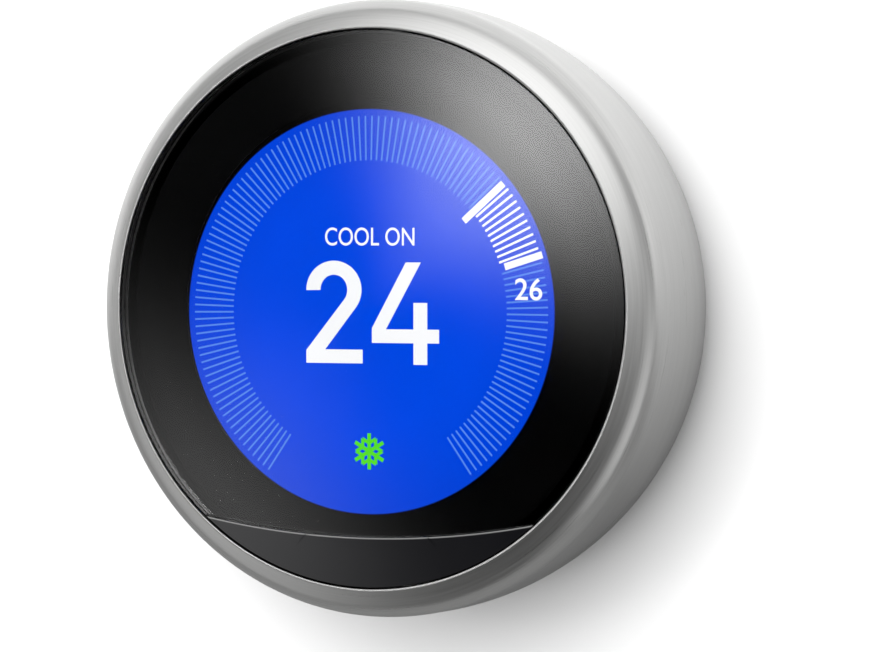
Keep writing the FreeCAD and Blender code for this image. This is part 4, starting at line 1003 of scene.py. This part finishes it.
INK_GAP = 0.01 * MM
INK_THICK = 0.03 * MM
BORDER_INNER = 28.0 * MM
BORDER_OUTER = 37.3 * MM
BORDER_STEPS = 192
border_ink = grained("border_ink", (0.002, 0.002, 0.0022), 0.8, 0.0005, 0.85, 0.000001)
border_ink.node_tree.nodes["Principled BSDF"].inputs["Specular IOR Level"].default_value = 0.03
border = turned(
    "printed_border",
    [
        (BORDER_INNER, lens_rear + INK_GAP),
        (BORDER_OUTER, lens_rear + INK_GAP),
        (BORDER_OUTER, lens_rear + INK_GAP + INK_THICK),
        (BORDER_INNER, lens_rear + INK_GAP + INK_THICK),
    ],
    BORDER_STEPS,
)
finish(border, border_ink, "face", "lens_glass")

bond_low, bond_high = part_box("optical_bond")
BOND_GAP = 0.06 * MM
BOND_IOR = 1.01
BOND_STEPS = 128
bond = turned(
    "clear_adhesive",
    [
        (0, bond_low.y + BOND_GAP),
        (bond_high.x - BOND_GAP, bond_low.y + BOND_GAP),
        (bond_high.x - BOND_GAP, bond_high.y - BOND_GAP),
        (0, bond_high.y - BOND_GAP),
    ],
    BOND_STEPS,
)
smoothed(bond)
adhesive = clear_finish("clear_adhesive", CLEAR, BOND_IOR, 0.0)
finish(bond, adhesive, "face", "clear_bond", "optical_bond")

# ---- Studio ---------------------------------------------------------------------------------
# A matt white wall that the part hangs on, seen through from behind, under a key lamp above
# and a large soft fill in front. Soft boxes and dark flags show in the steel and the lens.

WALL_SIZE = 6
WALL_INSET = 0.8 * MM
WALL_WHITE = (0.90, 0.90, 0.90)
# Painted shade on the wall, seen only in reflections, darkest towards the bottom.
WALL_PAINTED_SHADE = (0.27, 0.27, 0.27)
DARK_FROM = -0.036
DARK_TO = 0.036


def wall_paint():
    """Matt white paint with a faint roller texture: clear from behind; to glossy rays only, painted
    shade darkens it towards the bottom.
    """
    material, tree, shader, place = new_material("wall_paint")
    roller = noise(tree, place, 0.003)
    # Painted shade: in reflections only, the wall darkens towards the bottom, standing in for the
    # shadow beside the ring.
    painted_shade = spread(tree, separated(tree, place)["Y"], 1, 0, DARK_FROM, DARK_TO)
    glossy = tree.nodes.new("ShaderNodeLightPath").outputs["Is Glossy Ray"]
    tint = blended(tree, glossy, WALL_WHITE, blended(tree, painted_shade, WALL_WHITE, WALL_PAINTED_SHADE))
    tree.links.new(tint, shader.inputs["Base Color"])
    tree.links.new(spread(tree, roller, 0.9, 1), shader.inputs["Roughness"])
    shader.inputs["Specular IOR Level"].default_value = 0.1
    relief(tree, shader, roller, 0.00002)
    back = tree.nodes.new("ShaderNodeNewGeometry").outputs["Backfacing"]
    clear = tree.nodes.new("ShaderNodeBsdfTransparent")
    either = tree.nodes.new("ShaderNodeMixShader")
    tree.links.new(back, either.inputs["Fac"])
    tree.links.new(shader.outputs["BSDF"], either.inputs[1])
    tree.links.new(clear.outputs["BSDF"], either.inputs[2])
    tree.links.new(either.outputs["Shader"], tree.nodes["Material Output"].inputs["Surface"])
    return material


deselect()
bpy.ops.mesh.primitive_plane_add(
    size=WALL_SIZE, location=(0, REAR - WALL_INSET, 0), rotation=(math.pi / 2, 0, 0)
)
wall = bpy.context.active_object
wall.name = "wall"
wall.data.materials.append(wall_paint())


LAMP_AIM = Vector((0, -0.02, 0))
KEY_PLACE = (0.0, -1.05, 0.85)
KEY_SIZE = 0.9
KEY_POWER = 2.2
FILL_PLACE = (-0.1, -1.5, 0.2)
FILL_SIZE = 1.6
FILL_POWER = 18.5


def lamp(name, place, size, power):
    """A square soft lamp aimed at the part's middle, itself unseen in gloss and glass."""
    bpy.ops.object.light_add(type="AREA", location=place)
    light = bpy.context.active_object
    light.name = name
    light.data.shape = "SQUARE"
    light.data.size = size
    light.data.energy = power
    light.rotation_euler = (LAMP_AIM - Vector(place)).to_track_quat("-Z", "Y").to_euler()
    light.visible_glossy = False
    light.visible_transmission = False


lamp("key_lamp", KEY_PLACE, KEY_SIZE, KEY_POWER)
lamp("fill_lamp", FILL_PLACE, FILL_SIZE, FILL_POWER)

camera_place = Vector((0.2942, -0.6401, 0.0123))
LENS_MIDDLE = Vector((0, lens_front, 0))
towards = (camera_place - LENS_MIDDLE).normalized()
mirrored = Vector((-towards.x, towards.y, -towards.z))
SKY = (0.58, 0.58, 0.58)
BACKDROP = (0.92, 0.92, 0.92)
FLAG_BELOW = ((0.10, -0.70, -0.70), 12, 62, 0.09)
FLAG_FLOOR = ((0.3, 0.2, -0.93), 10, 55, 0.1)
BOX_LEFT = ((-0.87, -0.25, -0.42), 10, 38, 0.8)
BOX_RIGHT = ((0.85, -0.12, -0.5), 8, 34, 1.05)
BOX_ABOVE = ((0.12, -0.74, 0.66), 14, 44, 2.4)
BOX_TOP = ((0.35, 0.1, 0.93), 8, 40, 1.3)
FLAG_LENS = (mirrored, 11, 15, 0)
FAN_LEAN = math.radians(48)
FAN_LIGHT = 9.2
FAN_SHARPNESS = 6
FAINT_LIGHT = 1.3
FAINT_SHARPNESS = 4
FAN_REACH = 0.115
FAN_FALL = 1.8
FAN_EDGE = (0.19, 0.23)
TINY = 0.001


def patch(tree, direction, sky, middle, inner, outer, brightness):
    """A soft-edged round patch of light or dark in the studio, inner and outer in degrees."""
    amount = measured(tree, "DOT_PRODUCT", direction, Vector(middle).normalized())
    edges = (math.cos(math.radians(outer)), math.cos(math.radians(inner)))
    return blended(tree, spread(tree, amount, 0, 1, *edges), sky, [brightness] * 3)


def studio():
    """Even pale studio with soft boxes and dark flags, and a fan of light on the lens."""
    made = bpy.data.worlds.new("pale_studio")
    made.use_nodes = True
    tree = made.node_tree
    direction = tree.nodes.new("ShaderNodeTexCoord").outputs["Generated"]
    sky = SKY
    for item in (FLAG_BELOW, FLAG_FLOOR, BOX_LEFT, BOX_RIGHT, BOX_ABOVE, BOX_TOP, FLAG_LENS):
        sky = patch(tree, direction, sky, *item)
    across = Vector((0, 0, 1)).cross(mirrored).normalized()
    upward = across.cross(mirrored).normalized() * -1
    side = measured(tree, "DOT_PRODUCT", direction, across)
    rise = measured(tree, "DOT_PRODUCT", direction, upward)
    squares = [maths(tree, "MULTIPLY", part, part) for part in (side, rise)]
    reach = maths(tree, "SQRT", maths(tree, "ADD", *squares), 0)
    leaning = maths(tree, "MULTIPLY", side, math.cos(FAN_LEAN))
    rising = maths(tree, "MULTIPLY", rise, math.sin(FAN_LEAN))
    fan = maths(tree, "ADD", leaning, rising)
    fan = maths(tree, "DIVIDE", fan, maths(tree, "MAXIMUM", reach, TINY))
    ray = maths(tree, "POWER", maths(tree, "MAXIMUM", fan, 0), FAN_SHARPNESS)
    bright = maths(tree, "MULTIPLY", ray, FAN_LIGHT)
    opposite = maths(tree, "MAXIMUM", maths(tree, "MULTIPLY", fan, -1), 0)
    faint = maths(tree, "MULTIPLY", maths(tree, "POWER", opposite, FAINT_SHARPNESS), FAINT_LIGHT)
    near = maths(tree, "POWER", spread(tree, reach, 0, 1, 0, FAN_REACH), FAN_FALL)
    close = spread(tree, reach, 1, 0, *FAN_EDGE)
    front = maths(tree, "GREATER_THAN", measured(tree, "DOT_PRODUCT", direction, mirrored), 0)
    amount = maths(tree, "MULTIPLY", maths(tree, "MULTIPLY", near, close), front)
    light = maths(tree, "MULTIPLY", maths(tree, "ADD", bright, faint), amount)
    total = tree.nodes.new("ShaderNodeVectorMath")
    total.operation = "ADD"
    tree.links.new(sky, total.inputs[0])
    tree.links.new(combined(tree, light, light, light), total.inputs[1])
    seen = tree.nodes.new("ShaderNodeLightPath").outputs["Is Camera Ray"]
    shown = blended(tree, seen, total.outputs["Vector"], BACKDROP)
    tree.links.new(shown, tree.nodes["Background"].inputs["Color"])
    return made


bpy.context.scene.world = studio()
bpy.context.scene.view_settings.view_transform = "Standard"

CAMERA_AIM = Vector((0.01005, -0.030, -0.0022))
CAMERA_LENS = 207.6
bpy.ops.object.camera_add(location=camera_place)
camera = bpy.context.active_object
camera.rotation_euler = (CAMERA_AIM - camera_place).to_track_quat("-Z", "Y").to_euler()
camera.data.lens = CAMERA_LENS
bpy.context.scene.camera = camera
